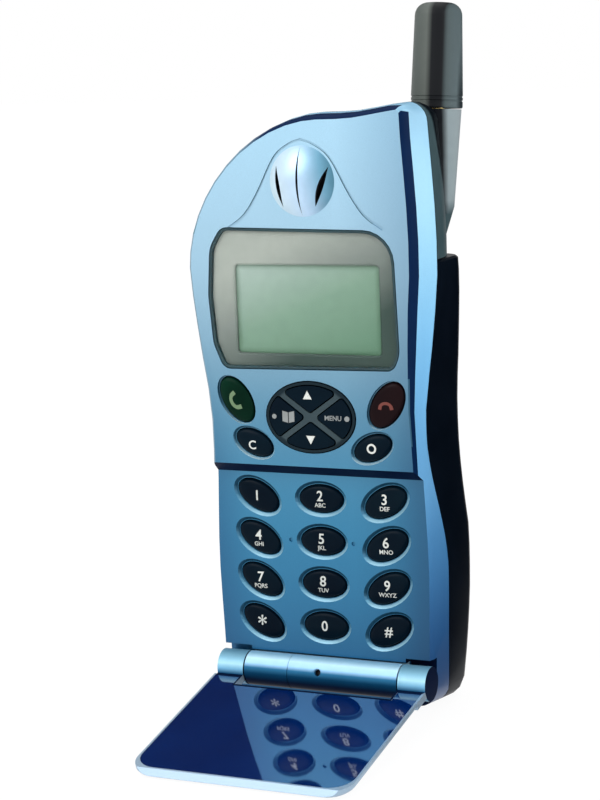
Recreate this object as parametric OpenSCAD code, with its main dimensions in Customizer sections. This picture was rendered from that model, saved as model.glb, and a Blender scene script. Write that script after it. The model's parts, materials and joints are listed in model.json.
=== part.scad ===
// Flip phone: a handset with a keypad flip, a stub antenna and a clip-on battery.
// It stands leaning back a little on the free edge of its open flip and on the
// bottom edge of its battery. Every piece is drawn in the handset's own frame:
// X to its right, Y to its back, Z up, with Y = 0 on the keypad deck and Z = 0
// at the battery's bottom edge. stand() then puts the handset on its feet.

/* [Body] */
// Height of the handset without its antenna
body_h = 121.2; // [120:0.2:124]
// Width across the ears beside the display
ear_w = 52.4; // [51:0.2:54]
// Width at the waist, where the flip ends
waist_w = 45.4; // [44.8:0.2:46.4]
// Width beside the keypad
low_w = 46.8; // [46.4:0.2:47.6]
// Depth from the keypad deck to the back, where the battery is thickest
body_d = 24.8; // [24.4:0.2:26]
// Wall thickness of the shells
wall = 1.5; // [1.3:0.1:1.6]
// How far the display face stands in front of the keypad deck
face_step = 2.8; // [2.7:0.1:3]

/* [Keys] */
// Distance between key columns
pitch_x = 14; // [13.8:0.1:14.2]
// Distance between key rows
pitch_z = 8.7; // [8.5:0.1:8.9]
// Length of a number key
key_l = 9.5; // [9:0.1:9.8]
// Width of a number key
key_w = 5.5; // [5:0.1:5.8]
// Tilt of the outer key columns, in degrees
key_tilt = 28; // [20:1:30]
// Gap around a key in its opening
key_gap = 0.25; // [0.2:0.05:0.3]

/* [Display] */
// Width of the visible display area
lcd_w = 31.2; // [29:0.2:32]
// Height of the visible display area
lcd_h = 17.6; // [16:0.2:18.4]

/* [Flip] */
// Length of the flip from the hinge axis to its inner free edge
flip_len = 41.1; // [40.4:0.1:41.2]
// Width of the flip at its root
flip_w = 46.4; // [45:0.2:46.8]
// Thickness of the flip
flip_t = 1.55; // [1.4:0.05:1.6]
// Angle between the closed and the open flip, in degrees
flip_open = 102.5; // [98:0.5:110]
// Radius of the hinge barrel
barrel_r = 3.45; // [3.4:0.05:3.6]

/* [Antenna] */
// Radius of the antenna sheath at its foot
sheath_r = 5.1; // [4.8:0.1:5.2]
// Length of the antenna sheath
sheath_l = 20.5; // [18:0.5:24]
// Backward lean of the antenna, in degrees
antenna_back = 4; // [2:0.5:5]
// Outward lean of the antenna, in degrees
antenna_out = 1.5; // [0:0.5:2]

/* [Hidden] */
$fn = 48;
eps = 0.01;
fit = 0.05;
seam = 0.2;
// Reach of a cut that runs right through the body, sideways and upwards
through = 45;
above = 140;

// Heights of the main stations on the handset
row_z = 43.2;
step_low_z = 48.1;
step_top_z = 50.2;
nav_z = 60.2;
ear_z = 89.5;
dome_z = 106.6;
battery_top_z = 90.9;
deck_end_z = 12.4;

// Hinge axis and the two flip knuckles on it
hinge_y = -1.2;
hinge_z = 7.5;
knuckle_l = [-22.6, -16.8];
knuckle_r = [17.3, 23.2];
barrel_x = [-16.5, 17];
cap_end_x = -6.8;
pin_r = 1.2;
pin_end_x = 21.9;
mic_x = -0.2;
mic_up = 20;
mic_r = 2;
mic_hole_r = 0.7;
boot_r = 2.5;
boot_l = 4;

// Bottom edge: how much it rises towards the front for each millimetre
bottom_rise = 0.11;
corner_r = 4;
back_low_y = body_d - 4.5;
foot_y = back_low_y - corner_r;

// Depths of the layers behind the deck and behind the face
face_y = -face_step;
face_in_y = face_y + wall;
deck_in_y = wall;
mat_y = [3.0, 3.6];
sheet_y = [3.95, 4.15];
board_y = [4.2, 5.2];
tray_y = [1.6, 10.2];
tray_low_z = 3.2;
tray_x = 20.2;
tray_wall = 1.2;
low_wall_y = hinge_y + barrel_r + 0.3;
deck_cavity_z = deck_end_z + 0.8;
rear_back_y = 16.2;

// Foot of the antenna, on the rear shell
antenna_foot = [20.7, 16.5, 119.3];
boss_l = 19;
boss_tail = 7;
ferrule_r = 2.55;

// Battery pack: one flat cell in a metal can
cell_x = 17;
cell_y = [12.1, 20];
cell_z = [13, 61];

// Screws that hold the two shells together
screw_at = [[-17, 8.6], [17, 8.6], [-16.9, 50.4], [16.9, 50.4]];
function screw_root(s) = s[1] < deck_end_z ? low_wall_y + 1 : deck_in_y - 0.5;
screw_r = 0.8;
boss_r = 1.8;
boss_room = boss_r + 0.4;

// ---- Curves ----------------------------------------------------------------

// Smooth value at z in a table of [z, value] pairs
function slope_at(t, i) =
    let (a = max(i - 1, 0), b = min(i + 1, len(t) - 1))
    (t[b][1] - t[a][1]) / (t[b][0] - t[a][0]);
function segment_of(t, z, i = 0) =
    (i >= len(t) - 2 || z < t[i + 1][0]) ? i : segment_of(t, z, i + 1);
function smooth(t, z) =
    let (i = segment_of(t, z), h = t[i + 1][0] - t[i][0], s = (z - t[i][0]) / h)
    let (m0 = slope_at(t, i) * h, m1 = slope_at(t, i + 1) * h)
    (2 * s * s * s - 3 * s * s + 1) * t[i][1] + (s * s * s - 2 * s * s + s) * m0
    + (3 * s * s - 2 * s * s * s) * t[i + 1][1] + (s * s * s - s * s) * m1;
function ease(s) = let (c = min(max(s, 0), 1)) c * c * (3 - 2 * c);

// Points of an arc in a plane, from angle a0 to a1
function arc(c, r, a0, a1, n) =
    [for (i = [0 : n]) let (a = a0 + (a1 - a0) * i / n) c + r * [cos(a), sin(a)]];

// An ellipse in X and Z, turned by tilt
function ellipse(c, a, b, tilt = 0, n = 32) = [
    for (i = [0 : n - 1])
        let (t = 360 * i / n, u = a * cos(t), v = b * sin(t))
        c + [u * cos(tilt) - v * sin(tilt), u * sin(tilt) + v * cos(tilt)]];

// A polygon with each corner rounded to its own radius
function unit(v) = v / norm(v);
function corner_arc(p, q, s, r, n) =
    let (a = unit(p - q), b = unit(s - q), half = acos(a * b) / 2)
    let (c = q + unit(a + b) * r / sin(half))
    let (t0 = q + a * r / tan(half) - c, t1 = q + b * r / tan(half) - c)
    let (a0 = atan2(t0[1], t0[0]), d = atan2(t1[1], t1[0]) - a0)
    let (turn = d > 180 ? d - 360 : (d < -180 ? d + 360 : d))
    arc(c, r, a0, a0 + turn, n);
function rounded(pts, radii, n = 6) = [
    for (i = [0 : len(pts) - 1])
        let (m = len(pts))
        each corner_arc(pts[(i + m - 1) % m], pts[i], pts[(i + 1) % m], radii[i], n)];
function box_pts(x0, x1, z0, z1) = [[x0, z0], [x1, z0], [x1, z1], [x0, z1]];

// A closed outline moved inwards by d, for outlines that run anticlockwise
function inset(pts, d) = [
    for (i = [0 : len(pts) - 1])
        let (n = len(pts), t = pts[(i + 1) % n] - pts[(i + n - 1) % n])
        pts[i] + d * unit([-t[1], t[0]])];

// ---- The handset's outline -------------------------------------------------

// Half width at the height z, the same on both sides up to the ears
side_table = [
    [0, low_w / 2 - 0.8], [15, low_w / 2 - 0.4], [30, low_w / 2],
    [42, (low_w + waist_w) / 4], [52, waist_w / 2], [62, waist_w / 2 + 0.2],
    [73, (waist_w + ear_w) / 4], [84, ear_w / 2 - 0.4], [ear_z, ear_w / 2],
    [100, ear_w / 2 - 0.1], [118, ear_w / 2 - 1.2]];
function side_x(z) = smooth(side_table, z);

// Bottom edge height at the depth y
function bottom_z(y) = max(0, bottom_rise * (foot_y - y));

// Outline at the depth y, anticlockwise from the bottom left corner, moved inwards by
// d = [left and bottom, right, top]. The share low of the right inset is left at the waist.
top_rise = 1.5;
top_edge_z = body_h - top_rise;
left_a = ear_w / 2 + 3.5;
left_b = top_edge_z - ear_z;
left_power = 1.075;
function even(d) = [d, d, d];
function right_inset(z, d, low) = d[1] * (low + (1 - low) * ease((z - 50) / 36));
function outline(y, d, low = 1) =
    let (z0 = bottom_z(y) + d[0], r = max(corner_r - d[0], 0.6), xl = side_x(corner_r) - d[0] - r)
    let (xr = side_x(corner_r) - right_inset(0, d, low) - r, rt = max(corner_r - d[1], 0.6))
    let (ct = [side_x(117) - d[1] - rt, body_h - d[2] - rt]) concat(
    arc([-xl, z0 + r], r, 180, 270, 5),
    arc([xr, z0 + r], r, 270, 360, 5),
    [for (z = [9 : 6.6 : 114.6]) [side_x(z) - right_inset(z, d, low), z]],
    arc(ct, rt, 0, 90, 6),
    [for (x = [18 : -3.5 : 4]) [x, top_edge_z + top_rise * ease((x - 8) / 14) - d[2]]],
    [for (t = [90 : -7.5 : 0]) [3.5 - (left_a - d[0]) * pow(cos(t), left_power),
        ear_z + (left_b - d[2]) * pow(sin(t), left_power)]],
    [for (z = [84 : -6.25 : 9]) [d[0] - side_x(z), z]]);

// Parting line of the front shell: low beside the keypad, close to the face above it
part_low_y = 9;
part_top_y = 1.2;
function part_y(z) = part_top_y + (part_low_y - part_top_y) * ease((59 - z) / 31);

// Depth of the back at the height z
back_table = [
    [0, back_low_y], [4, body_d - 3.2], [9, body_d - 1.8], [13, body_d - 1],
    [18, body_d - 0.3], [22, body_d], [35.5, body_d], [42, body_d - 1.3],
    [52, body_d - 2.3], [62, body_d - 3], [75, body_d - 5.8], [battery_top_z, body_d - 8.9]];
// The back is flat where the battery is thickest
function back_y(z) = min(body_d, smooth(back_table, z));

// ---- Solids from curves ----------------------------------------------------

// Prism along X from points [y, z], and along Y from points [x, z]
module x_prism(pts, x0, x1)
    translate([x0, 0, 0]) rotate([90, 0, 90]) linear_extrude(x1 - x0) polygon(pts);
module y_prism(pts, y0, y1)
    translate([0, y1, 0]) rotate([90, 0, 0]) linear_extrude(y1 - y0) polygon(pts);
module y_block(x0, x1, y0, y1, z0, z1)
    translate([x0, y0, z0]) cube([x1 - x0, y1 - y0, z1 - z0]);
module y_rod(x, z, r, y0, y1)
    translate([x, y1, z]) rotate([90, 0, 0]) cylinder(r = r, h = y1 - y0);
module x_rod(y, z, r, x0, x1)
    translate([x0, y, z]) rotate([0, 90, 0]) cylinder(r = r, h = x1 - x0);

// Solid skin over a stack of closed rings with equal numbers of points, each end
// closed by triangles round its middle
function middle(ring, i = 0) = i == len(ring) ? [0, 0, 0] : ring[i] / len(ring) + middle(ring, i + 1);
module loft(rings) {
    n = len(rings[0]);
    m = len(rings);
    far = (m - 1) * n;
    sides = [for (k = [0 : m - 2], i = [0 : n - 1]) let (a = k * n, b = a + n, j = (i + 1) % n)
        each [[a + i, a + j, b + j], [a + i, b + j, b + i]]];
    ends = [for (i = [0 : n - 1]) let (j = (i + 1) % n)
        each [[m * n, j, i], [m * n + 1, far + i, far + j]]];
    polyhedron(concat([for (r = rings) each r], [middle(rings[0]), middle(rings[m - 1])]), concat(sides, ends));
}

// The outline carried back along Y: each step is [y, inset], as outline() takes it
module outline_loft(steps, low = 1)
    loft([for (s = steps) [for (p = outline(s[0], s[1], low)) [p[0], s[0], p[1]]]]);

// ---- Keys and their openings -----------------------------------------------

// One record for each oval key: centre, half length, half width, tilt, surface depth, dish width
function number_key(col, row) = [
    [pitch_x * (col - 1), row_z - pitch_z * row], key_l / 2, key_w / 2,
    key_tilt * (col - 1), 0, 0.8];
send_key = [[-16.4, 63.2], 5.0, 3.0, -56, face_y, 0.25];
end_key = [[16.2, 63.1], 5.0, 3.0, 56, face_y, 0.25];
clear_key = [[-12.9, 54.6], 4.15, 2.4, -23, face_y, 0.5];
power_key = [[12.9, 54.5], 4.15, 2.4, 23, face_y, 0.5];
number_keys = [for (row = [0 : 3], col = [0 : 2]) number_key(col, row)];
oval_keys = concat(number_keys, [send_key, end_key, clear_key, power_key]);

// How far a key stands in front of its surface, and the depth of the dish round it
key_proud = 0.35;
dish_d = 0.55;
flange_d = 0.5;

function ring_at(k, grow, y) = [
    for (p = ellipse(k[0], k[1] + grow, k[2] + grow, k[3], 28)) [p[0], y, p[1]]];

// Opening of a key: a sloping dish with the hole through its floor
module key_opening(k) {
    loft([ring_at(k, key_gap + k[5], k[4] - 0.1), ring_at(k, key_gap + 0.1, k[4] + dish_d)]);
    y_prism(ellipse(k[0], k[1] + key_gap, k[2] + key_gap, k[3], 28), k[4] - 1, k[4] + wall + 1);
}

// A key: crowned top, body through the shell, flange and post behind it
module oval_key(k) {
    y0 = k[4] - key_proud;
    y1 = k[4] + wall + 0.1;
    loft([ring_at(k, -0.8, y0), ring_at(k, -0.35, y0 + 0.1),
        ring_at(k, 0, y0 + 0.45), ring_at(k, 0, y1 + eps)]);
    y_prism(ellipse(k[0], k[1] + 0.45, k[2] + 0.45, k[3]), y1, y1 + flange_d);
    y_rod(k[0][0], k[0][1], 1.5, y1 + flange_d - eps, y1 + flange_d + 0.1);
}

module black_key(k) color("#15181c") oval_key(k);
module green_key(k) color("#0e3a22") oval_key(k);
module red_key(k) color("#3a1216") oval_key(k);

// Navigation disc: a rim and a diagonal cross around four sector keys
nav_a = 9.6;
nav_b = 7.05;
nav_arm = 0.55;
nav_key_gap = 6;
nav_rim = 0.5;
nav_back_y = face_in_y + 0.5;
nav_angle = atan(nav_b / nav_a);
nav_centre = [-0.1, nav_z];
nav_boss = [[-5.6, 0], [5.6, 0], [0, 4.3], [0, -4.3]];

module nav_sector(side, grow) {
    from = side * 90 - 45 + nav_key_gap;
    to = side * 90 + 45 - nav_key_gap;
    tip = (nav_arm + key_gap) / (side % 2 == 0 ? sin(nav_angle) : cos(nav_angle));
    rim = nav_rim + key_gap;
    translate(nav_centre) offset(delta = grow) offset(r = 0.5) offset(delta = -0.5)
        polygon(concat([tip * [cos(side * 90), sin(side * 90)]],
            [for (i = [0 : 10]) let (t = from + (to - from) * i / 10)
                [(nav_a - rim) * cos(t), (nav_b - rim) * sin(t)]]));
}
module nav_key(side) color("#15181c") {
    translate([0, nav_back_y, 0]) rotate([90, 0, 0])
        linear_extrude(nav_back_y - face_y + key_proud) nav_sector(side, 0);
    translate([0, nav_back_y + flange_d, 0]) rotate([90, 0, 0])
        linear_extrude(flange_d) nav_sector(side, 0.3);
}

// ---- Front shell -----------------------------------------------------------

// The face's edge: narrow on the left, a wide bevel on the right
bevel_low = 0.3;
face_edge = [[face_y, [0.9, 4.3, 1.3]], [face_y + 0.3, [0.5, 3.9, 0.9]], [face_y + 1.2, [0.25, 2.7, 0.5]],
    [-0.2, [0.1, 1.8, 0.25]], [1.3, even(0)], [12, even(0)]];
// Side profile: keypad deck, slanting step, display face, then the parting line at the back
front_profile = concat([[0, -3], [0, step_low_z], [-2 * face_step, 2 * step_top_z - step_low_z],
    [-2 * face_step, above], [part_top_y, above]], [for (z = [63 : -3 : -3]) [part_y(z), z]]);

window_pts = [[-18.8, 69.5], [17.9, 69.9], [19.3, 73], [18.6, 96.9], [-18.3, 97.6], [-20.9, 93.5],
    [-21.6, 84], [-20.9, 74.5]];
window_radii = [2.2, 2, 6, 6.5, 2.5, 6, 10, 6];
window_outline = rounded(window_pts, window_radii);

// Thin groove that runs from one top corner of the window over the earpiece to the other
bell_table = [[0, 0], [2.5, 0.8], [6, 3.4], [10, 10.4], [13, 14.6], [17, 17.4]];
bell_top_z = dome_z + 8.3;
function bell(d) = concat(
    [for (s = [-17 : 1 : 17]) [s * (1 - d / 17), bell_top_z - d - smooth(bell_table, abs(s))]]);
bell_groove = concat(bell(0), [for (i = [len(bell(0)) - 1 : -1 : 0]) bell(0.45)[i]]);

module front_cavity() {
    intersection() {
        y_prism(outline(foot_y, [1.6, 4.9, 1.8], bevel_low), face_in_y, 14);
        y_block(-through, through, -9, 14, step_top_z + 0.9, body_h);
    }
    intersection() {
        y_prism(outline(foot_y, even(2.2)), deck_in_y, 15);
        y_block(-through, through, 0, 15, deck_cavity_z, step_top_z + 9);
    }
    intersection() {
        y_prism(outline(foot_y, even(2.3)), low_wall_y + wall, 16);
        y_block(-through, through, 0, 16, bottom_z(low_wall_y) + wall, deck_end_z + 9);
    }
}

module front_shell() color("#7fb2d6") difference() {
    union() {
        difference() {
            intersection() {
                outline_loft(face_edge, bevel_low);
                x_prism(front_profile, -through, through);
            }
            front_cavity();
        }
        for (s = screw_at) y_rod(s[0], s[1], boss_r, screw_root(s), 8.9);
    }
    // Room for the hinge barrel and the knuckles
    y_block(-through, through, -9, low_wall_y, -9, deck_end_z - 1.6);
    x_rod(hinge_y, hinge_z, barrel_r + 0.3, -through, through);
    for (span = [[-through, knuckle_l[1]], [knuckle_r[0], through]])
        y_block(span[0], span[1], -9, low_wall_y, 0, hinge_z + barrel_r + 0.9);
    for (s = screw_at) y_rod(s[0], s[1], screw_r + fit, 5, 9.1);
    for (k = oval_keys) key_opening(k);
    y_prism(ellipse(nav_centre, nav_a + key_gap, nav_b + key_gap, 0, 48), -9, 0);
    y_prism(inset(window_outline, -0.12), -9, face_y + 1.15);
    y_prism(inset(window_outline, 1.3), -8, 0);
    y_rod(0, dome_z, 6.5, -9, 0);
    y_prism(bell_groove, face_y - 1, face_y + 0.3);
    for (x = [-6.9, 6.9]) y_rod(x, row_z - pitch_z, 0.45, -1, 0.35);
    // Opening for the charging and data connector in the bottom wall
    y_block(-9.2, 9.2, 4.1, 7.9, -9, deck_end_z - 4);
}

// ---- Display ---------------------------------------------------------------

lcd_x = -0.4;
lcd_z = 81.4;
lens_y = [face_y + 0.08, face_y + 0.85];
mask_y = [face_y + 0.86, face_y + 1.14];
module window_lens() color("#a9b8b4", 0.35) y_prism(window_outline, lens_y[0], lens_y[1]);

module window_mask() color("#8d9690") difference() {
    y_prism(inset(window_outline, 0.1), mask_y[0], mask_y[1]);
    y_prism(rounded(box_pts(lcd_x - lcd_w / 2, lcd_x + lcd_w / 2, lcd_z - lcd_h / 2, lcd_z + lcd_h / 2),
        [0.9, 0.9, 0.9, 0.9]), -9, 0);
}

module lcd_glass() color("#a8bfa0") {
    y_block(-17.4, 16.6, -1.2, -0.35, 71.4, 92.6);
    y_block(-17.4, 16.6, -0.34, 0.5, 73.4, 92.6);
}

module light_guide() color("#dfe8dc") y_block(-17.2, 16.4, 0.6, 2.3, 71.6, 92.4);

module lcd_frame() color("#d9dad6") difference() {
    y_block(-18.6, 17.8, -1.25, 4.15, 69.8, 95.2);
    y_block(-17.5, 16.7, -2, 2.4, 71.3, 92.7);
    y_block(-15.5, 14.7, 2, 5, 74, 91);
}

// ---- Earpiece --------------------------------------------------------------

dome_r = 6.9;
dome_h = 2.4;
dome_ball = (dome_r * dome_r + dome_h * dome_h) / (2 * dome_h);
slit_ends = [[[-5.1, 3.2], [-4.0, -5.0], 1.0], [[5.9, 2.8], [3.1, -4.9], 1.1], [[0, 6.6], [0, -6.6], 0.45]];

module dome_profile(grow, low) polygon(concat(
    [[0, low], [dome_r - 0.55 + grow, low], [dome_r - 0.55 + grow, 0], [dome_r + grow, 0]],
    [for (i = [1 : 10]) let (a = asin(dome_r / dome_ball) * (10 - i) / 10)
        [(dome_ball + grow) * sin(a), (dome_ball + grow) * cos(a) - dome_ball + dome_h]]));

module earpiece_grille() color("#b9cfe6") difference() {
    translate([0, face_y, dome_z]) rotate([90, 0, 0]) difference() {
        rotate_extrude() dome_profile(0, -wall + 0.1);
        translate([0, 0, dome_h - dome_ball - 1]) cylinder(r = 5.4, h = dome_ball - dome_h);
        intersection() {
            translate([0, 0, dome_h - dome_ball]) sphere(r = dome_ball - 0.9, $fn = 64);
            translate([0, 0, -2]) cylinder(r = 5.4, h = 5);
        }
    }
    for (s = slit_ends)
        translate([0, 0, dome_z]) y_prism(slit(s[0], s[1], s[2] / 2), face_y - 9, face_y + 0.6);
}
// Lens-shaped slit between two points
function slit(p, q, half) = let (d = q - p, n = unit([-d[1], d[0]])) concat(
    [for (i = [0 : 8]) let (t = i / 8) p + d * t + n * half * sin(180 * t)],
    [for (i = [1 : 7]) let (t = 1 - i / 8) p + d * t - n * half * sin(180 * t)]);

module earpiece_speaker() color("#2b2b2e") {
    y_rod(0, dome_z, 6.2, face_in_y + 0.2, 1.2);
    y_rod(0, dome_z, 4.2, 1.2 - eps, 2.4);
}

// ---- Navigation disc -------------------------------------------------------

module nav_bezel() color("#4b5a63") difference() {
    union() {
        y_prism(ellipse(nav_centre, nav_a, nav_b, 0, 48), face_y - 0.15, face_in_y + 0.02);
        y_prism(ellipse(nav_centre, nav_a + 0.9, nav_b + 0.9, 0, 48), face_in_y + 0.02, face_in_y + 0.4);
    }
    for (side = [0 : 3])
        translate([0, 5, 0]) rotate([90, 0, 0]) linear_extrude(20) nav_sector(side, key_gap);
}

// ---- Keypad sheets and board -----------------------------------------------

upper_posts = concat([send_key[0], end_key[0], clear_key[0], power_key[0]],
    [for (b = nav_boss) nav_centre + b]);

module keypad_mat() color("#c9cfd2") {
    difference() {
        y_prism(rounded(box_pts(-18.3, 18.3, 14.2, 68.2), [2, 2, 2, 2]), mat_y[0], mat_y[1]);
        for (s = screw_at) y_rod(s[0], s[1], boss_room, 0, 9);
    }
    for (k = number_keys) y_rod(k[0][0], k[0][1], 1.6, 2.75, mat_y[0] + eps);
    for (p = upper_posts) y_rod(p[0], p[1], 1.3, 0.35, mat_y[0] + eps);
}

module dome_sheet() color("#c8b27a") {
    difference() {
        y_prism(box_pts(-18.2, 18.2, 14.2, 68.2), sheet_y[0], sheet_y[1]);
        for (s = screw_at) y_rod(s[0], s[1], boss_room, 0, 9);
    }
    for (p = concat([for (k = number_keys) k[0]], upper_posts))
        translate([p[0], sheet_y[0] + eps, p[1]]) rotate([90, 0, 0]) cylinder(r1 = 1.9, r2 = 1, h = 0.3);
}

board_pts = [[-18.4, 14], [18.4, 14], [18.4, 108], [14, 114.5], [-7, 112.5], [-18.4, 100]];
module main_board() color("#2f6b45") difference() {
    y_prism(board_pts, board_y[0], board_y[1]);
    for (s = screw_at) y_rod(s[0], s[1], boss_room, 0, 9);
}

can_boxes = [[-12, 12, 60, 84], [-14.5, 8, 92, 108]];
module shield_cans() color("#b4b8bb")
    for (b = can_boxes) difference() {
        y_block(b[0], b[1], board_y[1], 8.1, b[2], b[3]);
        y_block(b[0] + 0.3, b[1] - 0.3, board_y[1] - 1, 7.8, b[2] + 0.3, b[3] - 0.3);
    }

module sim_holder() color("#22262a") difference() {
    y_block(-14.5, 13.5, board_y[1], 7.6, 19.6, 36.6);
    y_block(-13.1, 12.3, 6.3, 7.2, 20.4, 40);
    y_block(-10, 9, 7, 9, 22.5, 40);
}
module sim_card() color("#e8e6df") y_prism(
    [[-13, 20.5], [12, 20.5], [12, 35.4], [-10.4, 35.4], [-13, 32.8]], 6.35, 7.1);

module buzzer() color("#3a3a3c") difference() {
    y_rod(13.4, 99, 4.2, board_y[1], 8.4);
    y_rod(13.4, 99, 0.8, 8, 9);
}

// Vibrating alert: a small motor that spins an off-centre weight
motor_y = 8.6;
motor_z = 110.8;
motor_r = 2;
shaft_r = 0.45;
module vibrator_motor() color("#a7abad") {
    x_rod(motor_y, motor_z, motor_r, -2.5, 6.5);
    x_rod(motor_y, motor_z, shaft_r, -6.3, -2.4);
    y_block(-1.8, 5.8, board_y[1], motor_y - 1.9, motor_z - 1.5, motor_z + 1);
}
module vibrator_weight() color("#6f6a5e") difference() {
    x_rod(motor_y, motor_z, motor_r + 0.1, -5.9, -3.1);
    x_rod(motor_y, motor_z, shaft_r + fit, -7, -2);
    y_block(-8, 0, motor_y - 5, motor_y + 5, motor_z + 0.75, motor_z + 5);
}

// ---- Bottom end ------------------------------------------------------------

connector_low = 2.4;
module system_connector() color("#1d1f22") difference() {
    y_block(-8.9, 8.9, 4.3, 7.7, connector_low, connector_low + 9);
    translate([5.6, 6, connector_low - 1]) cylinder(r = 1.4, h = 8);
    for (i = [0 : 7]) y_block(-7.6 + i * 1.3, -6.9 + i * 1.3, 4.9, 7.1, connector_low - 1, connector_low + 5);
}

// Places of the battery contacts across the body, shared with the pack
contact_x = [-4.5, -1.5, 1.5, 4.5];
module battery_contacts() color("#caa64a") {
    for (x = contact_x) {
        y_block(x - 0.6, x + 0.6, board_y[1], 9.6, 15.6, 17.6);
        translate([x, 10.35, 16.6]) rotate([90, 0, 0]) cylinder(r = 0.5, h = 1);
    }
}

module case_screws() color("#9a9da0") for (s = screw_at) {
    y_rod(s[0], s[1], screw_r, 5.4, 9.5);
    difference() {
        y_rod(s[0], s[1], 1.45, 9.37, 10.15);
        for (a = [0, 90]) translate([s[0], 10, s[1]]) rotate([0, a, 0]) y_block(-1, 1, -0.4, 1, -0.18, 0.18);
    }
}

// ---- Rear shell ------------------------------------------------------------

rear_edge = [[part_top_y + seam, even(0)], [4.6, even(0.1)], [8, even(0.8)], [11, even(2)], [13.6, even(3.5)],
    [15.4, even(4.6)], [rear_back_y, even(5.9)]];
dome_low_z = battery_top_z + 0.3;
rear_in = [[part_top_y - 1, even(1.6)], [4.6, even(1.7)], [8, even(2.4)], [11, even(3.8)], [13, even(5.2)],
    [rear_back_y - wall, even(6.3)]];

module on_antenna() translate(antenna_foot) rotate([-antenna_back, antenna_out, 0]) children();

module rear_shell() color("#8b9696") difference() {
    union() {
        difference() {
            intersection() {
                union() {
                    outline_loft(rear_edge);
                    on_antenna() translate([0, 0, -boss_l - seam]) {
                        cylinder(r1 = 3.9, r2 = 4.9, h = boss_l);
                        translate([0, 0, -boss_tail]) cylinder(r1 = 2, r2 = 3.9, h = boss_tail);
                    }
                }
                y_block(-through, through, part_top_y + seam, 40, dome_low_z, body_h + 9);
            }
            intersection() {
                outline_loft(rear_in);
                y_block(-through, through, -9, 40, dome_low_z + wall, body_h + 9);
            }
        }
        difference() {
            y_block(-tray_x, tray_x, tray_y[0], tray_y[1], tray_low_z, dome_low_z + 1);
            y_block(-tray_x + tray_wall, tray_x - tray_wall, 0, tray_y[1] - tray_wall, tray_low_z + tray_wall,
                dome_low_z + 9);
        }
        intersection() {
            on_antenna() translate([0, 0, -11]) cylinder(r = 3.9, h = 9);
            y_block(-through, through, 3, 40, 100, body_h + 9);
        }
    }
    on_antenna() translate([0, 0, -9]) cylinder(r = ferrule_r + fit, h = 12);
    on_antenna() translate([0, 0, -seam]) cylinder(r = sheath_r + 0.1, h = 12);
    // The display's frame and the board stand in the tray, clear of the front shell's low wall
    y_block(-tray_x + tray_wall, tray_x - tray_wall, 0, tray_y[1] - tray_wall, 80, dome_low_z + wall + 1);
    y_block(-through, through, -9, low_wall_y + wall + 0.2, -9, deck_cavity_z + 0.2);
    // Screw holes with room for the heads, the contact window and the card door
    for (s = screw_at) {
        y_rod(s[0], s[1], boss_r + 0.15, 0, 8.95);
        y_rod(s[0], s[1], screw_r + 0.1, 8, 11);
        y_rod(s[0], s[1], 1.6, 9.35, 11);
    }
    y_block(-5.6, 5.6, 5, 12, 15.2, 18);
    y_block(-14, 13, 8, 12, 19, 53);
    // Bottom of the tray is open around the charging and data connector
    y_block(-9.4, 9.4, 1, 8.2, 1, 12);
    // Notch for the latch tongue of the battery
    y_block(-tongue_w - 0.3, tongue_w + 0.3, 12, 20, dome_low_z - 1, dome_low_z + 1.3);
}

// ---- Antenna ---------------------------------------------------------------

// Depth of the two thin rings at the sheath's foot
ring_d = 0.12;
module antenna_sheath() color("#3c4347") on_antenna() difference() {
    rotate_extrude($fn = 64) polygon(concat(
        [[0, 0], [sheath_r - 0.15, 0], [sheath_r, 0.2], [sheath_r, 1.2]],
        [[sheath_r - ring_d, 1.3], [sheath_r - ring_d, 1.5], [sheath_r, 1.6], [sheath_r, 2]],
        [[sheath_r - ring_d, 2.1], [sheath_r - ring_d, 2.3], [sheath_r, 2.4]],
        arc([sheath_r - 3, sheath_l - 2.6], 2.55, 0, 90, 8),
        [[0, sheath_l]]));
    translate([0, 0, -1]) cylinder(r = 3.35, h = sheath_l - 2.2);
}

// Helix of round wire about Z: n points a turn, rising by rise a turn
module coil(r, wire, turns, rise, n)
    loft([for (i = [0 : n * turns]) let (a = 360 * i / n)
        [for (j = [0 : 5]) let (b = -60 * j)
            let (reach = r + wire * cos(b))
            [reach * cos(a), reach * sin(a), wire + rise * i / n + wire * sin(b)]]]);
module antenna_coil() color("#c48a4a") on_antenna() translate([0, 0, 2]) coil(2.75, 0.3, 7, 2, 18);
module antenna_core() color("#e9e6dd") on_antenna() cylinder(r = 2.35, h = 17.2);
module antenna_ferrule() color("#c9a24b") on_antenna() difference() {
    translate([0, 0, -7.5]) cylinder(r = ferrule_r, h = 7.5);
    for (z = [-6.6 : 1 : -1]) translate([0, 0, z]) difference() {
        cylinder(r = 3, h = 0.4);
        cylinder(r = ferrule_r - 0.3, h = 0.4);
    }
}

// ---- Battery ---------------------------------------------------------------

// Ring of the pack at the height z, clockwise from its front left, d inside its outer skin
corner_x = 6;
corner_y = 5;
function pack_ring(z, d, y0) =
    let (w = side_x(max(z, corner_r)) - d, b = back_y(z) - d, cx = corner_x - d * 0.7, cy = corner_y - d * 0.7)
    let (left = [for (i = [0 : 6]) let (a = 15 * i) [-w + cx * (1 - cos(a)), b - cy * (1 - sin(a))]])
    concat([[-w, y0]], left, [for (i = [6 : -1 : 0]) [-left[i][0], left[i][1]]], [[w, y0]]);
function drop(z, y) = (1 - ease(z / 9)) * bottom_rise * (foot_y - y);
function lifted(ring, z) = [for (p = ring) [p[0], p[1], z + drop(z, p[1])]];
function round_in(z) = let (up = max(corner_r - z, 0)) corner_r - sqrt(corner_r * corner_r - up * up);
pack_low = [0, 0.25, 0.8, 1.8, corner_r];
pack_z = concat(pack_low, [for (z = [9 : 4.4 : 88.2]) z], [battery_top_z - 0.4]);

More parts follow.
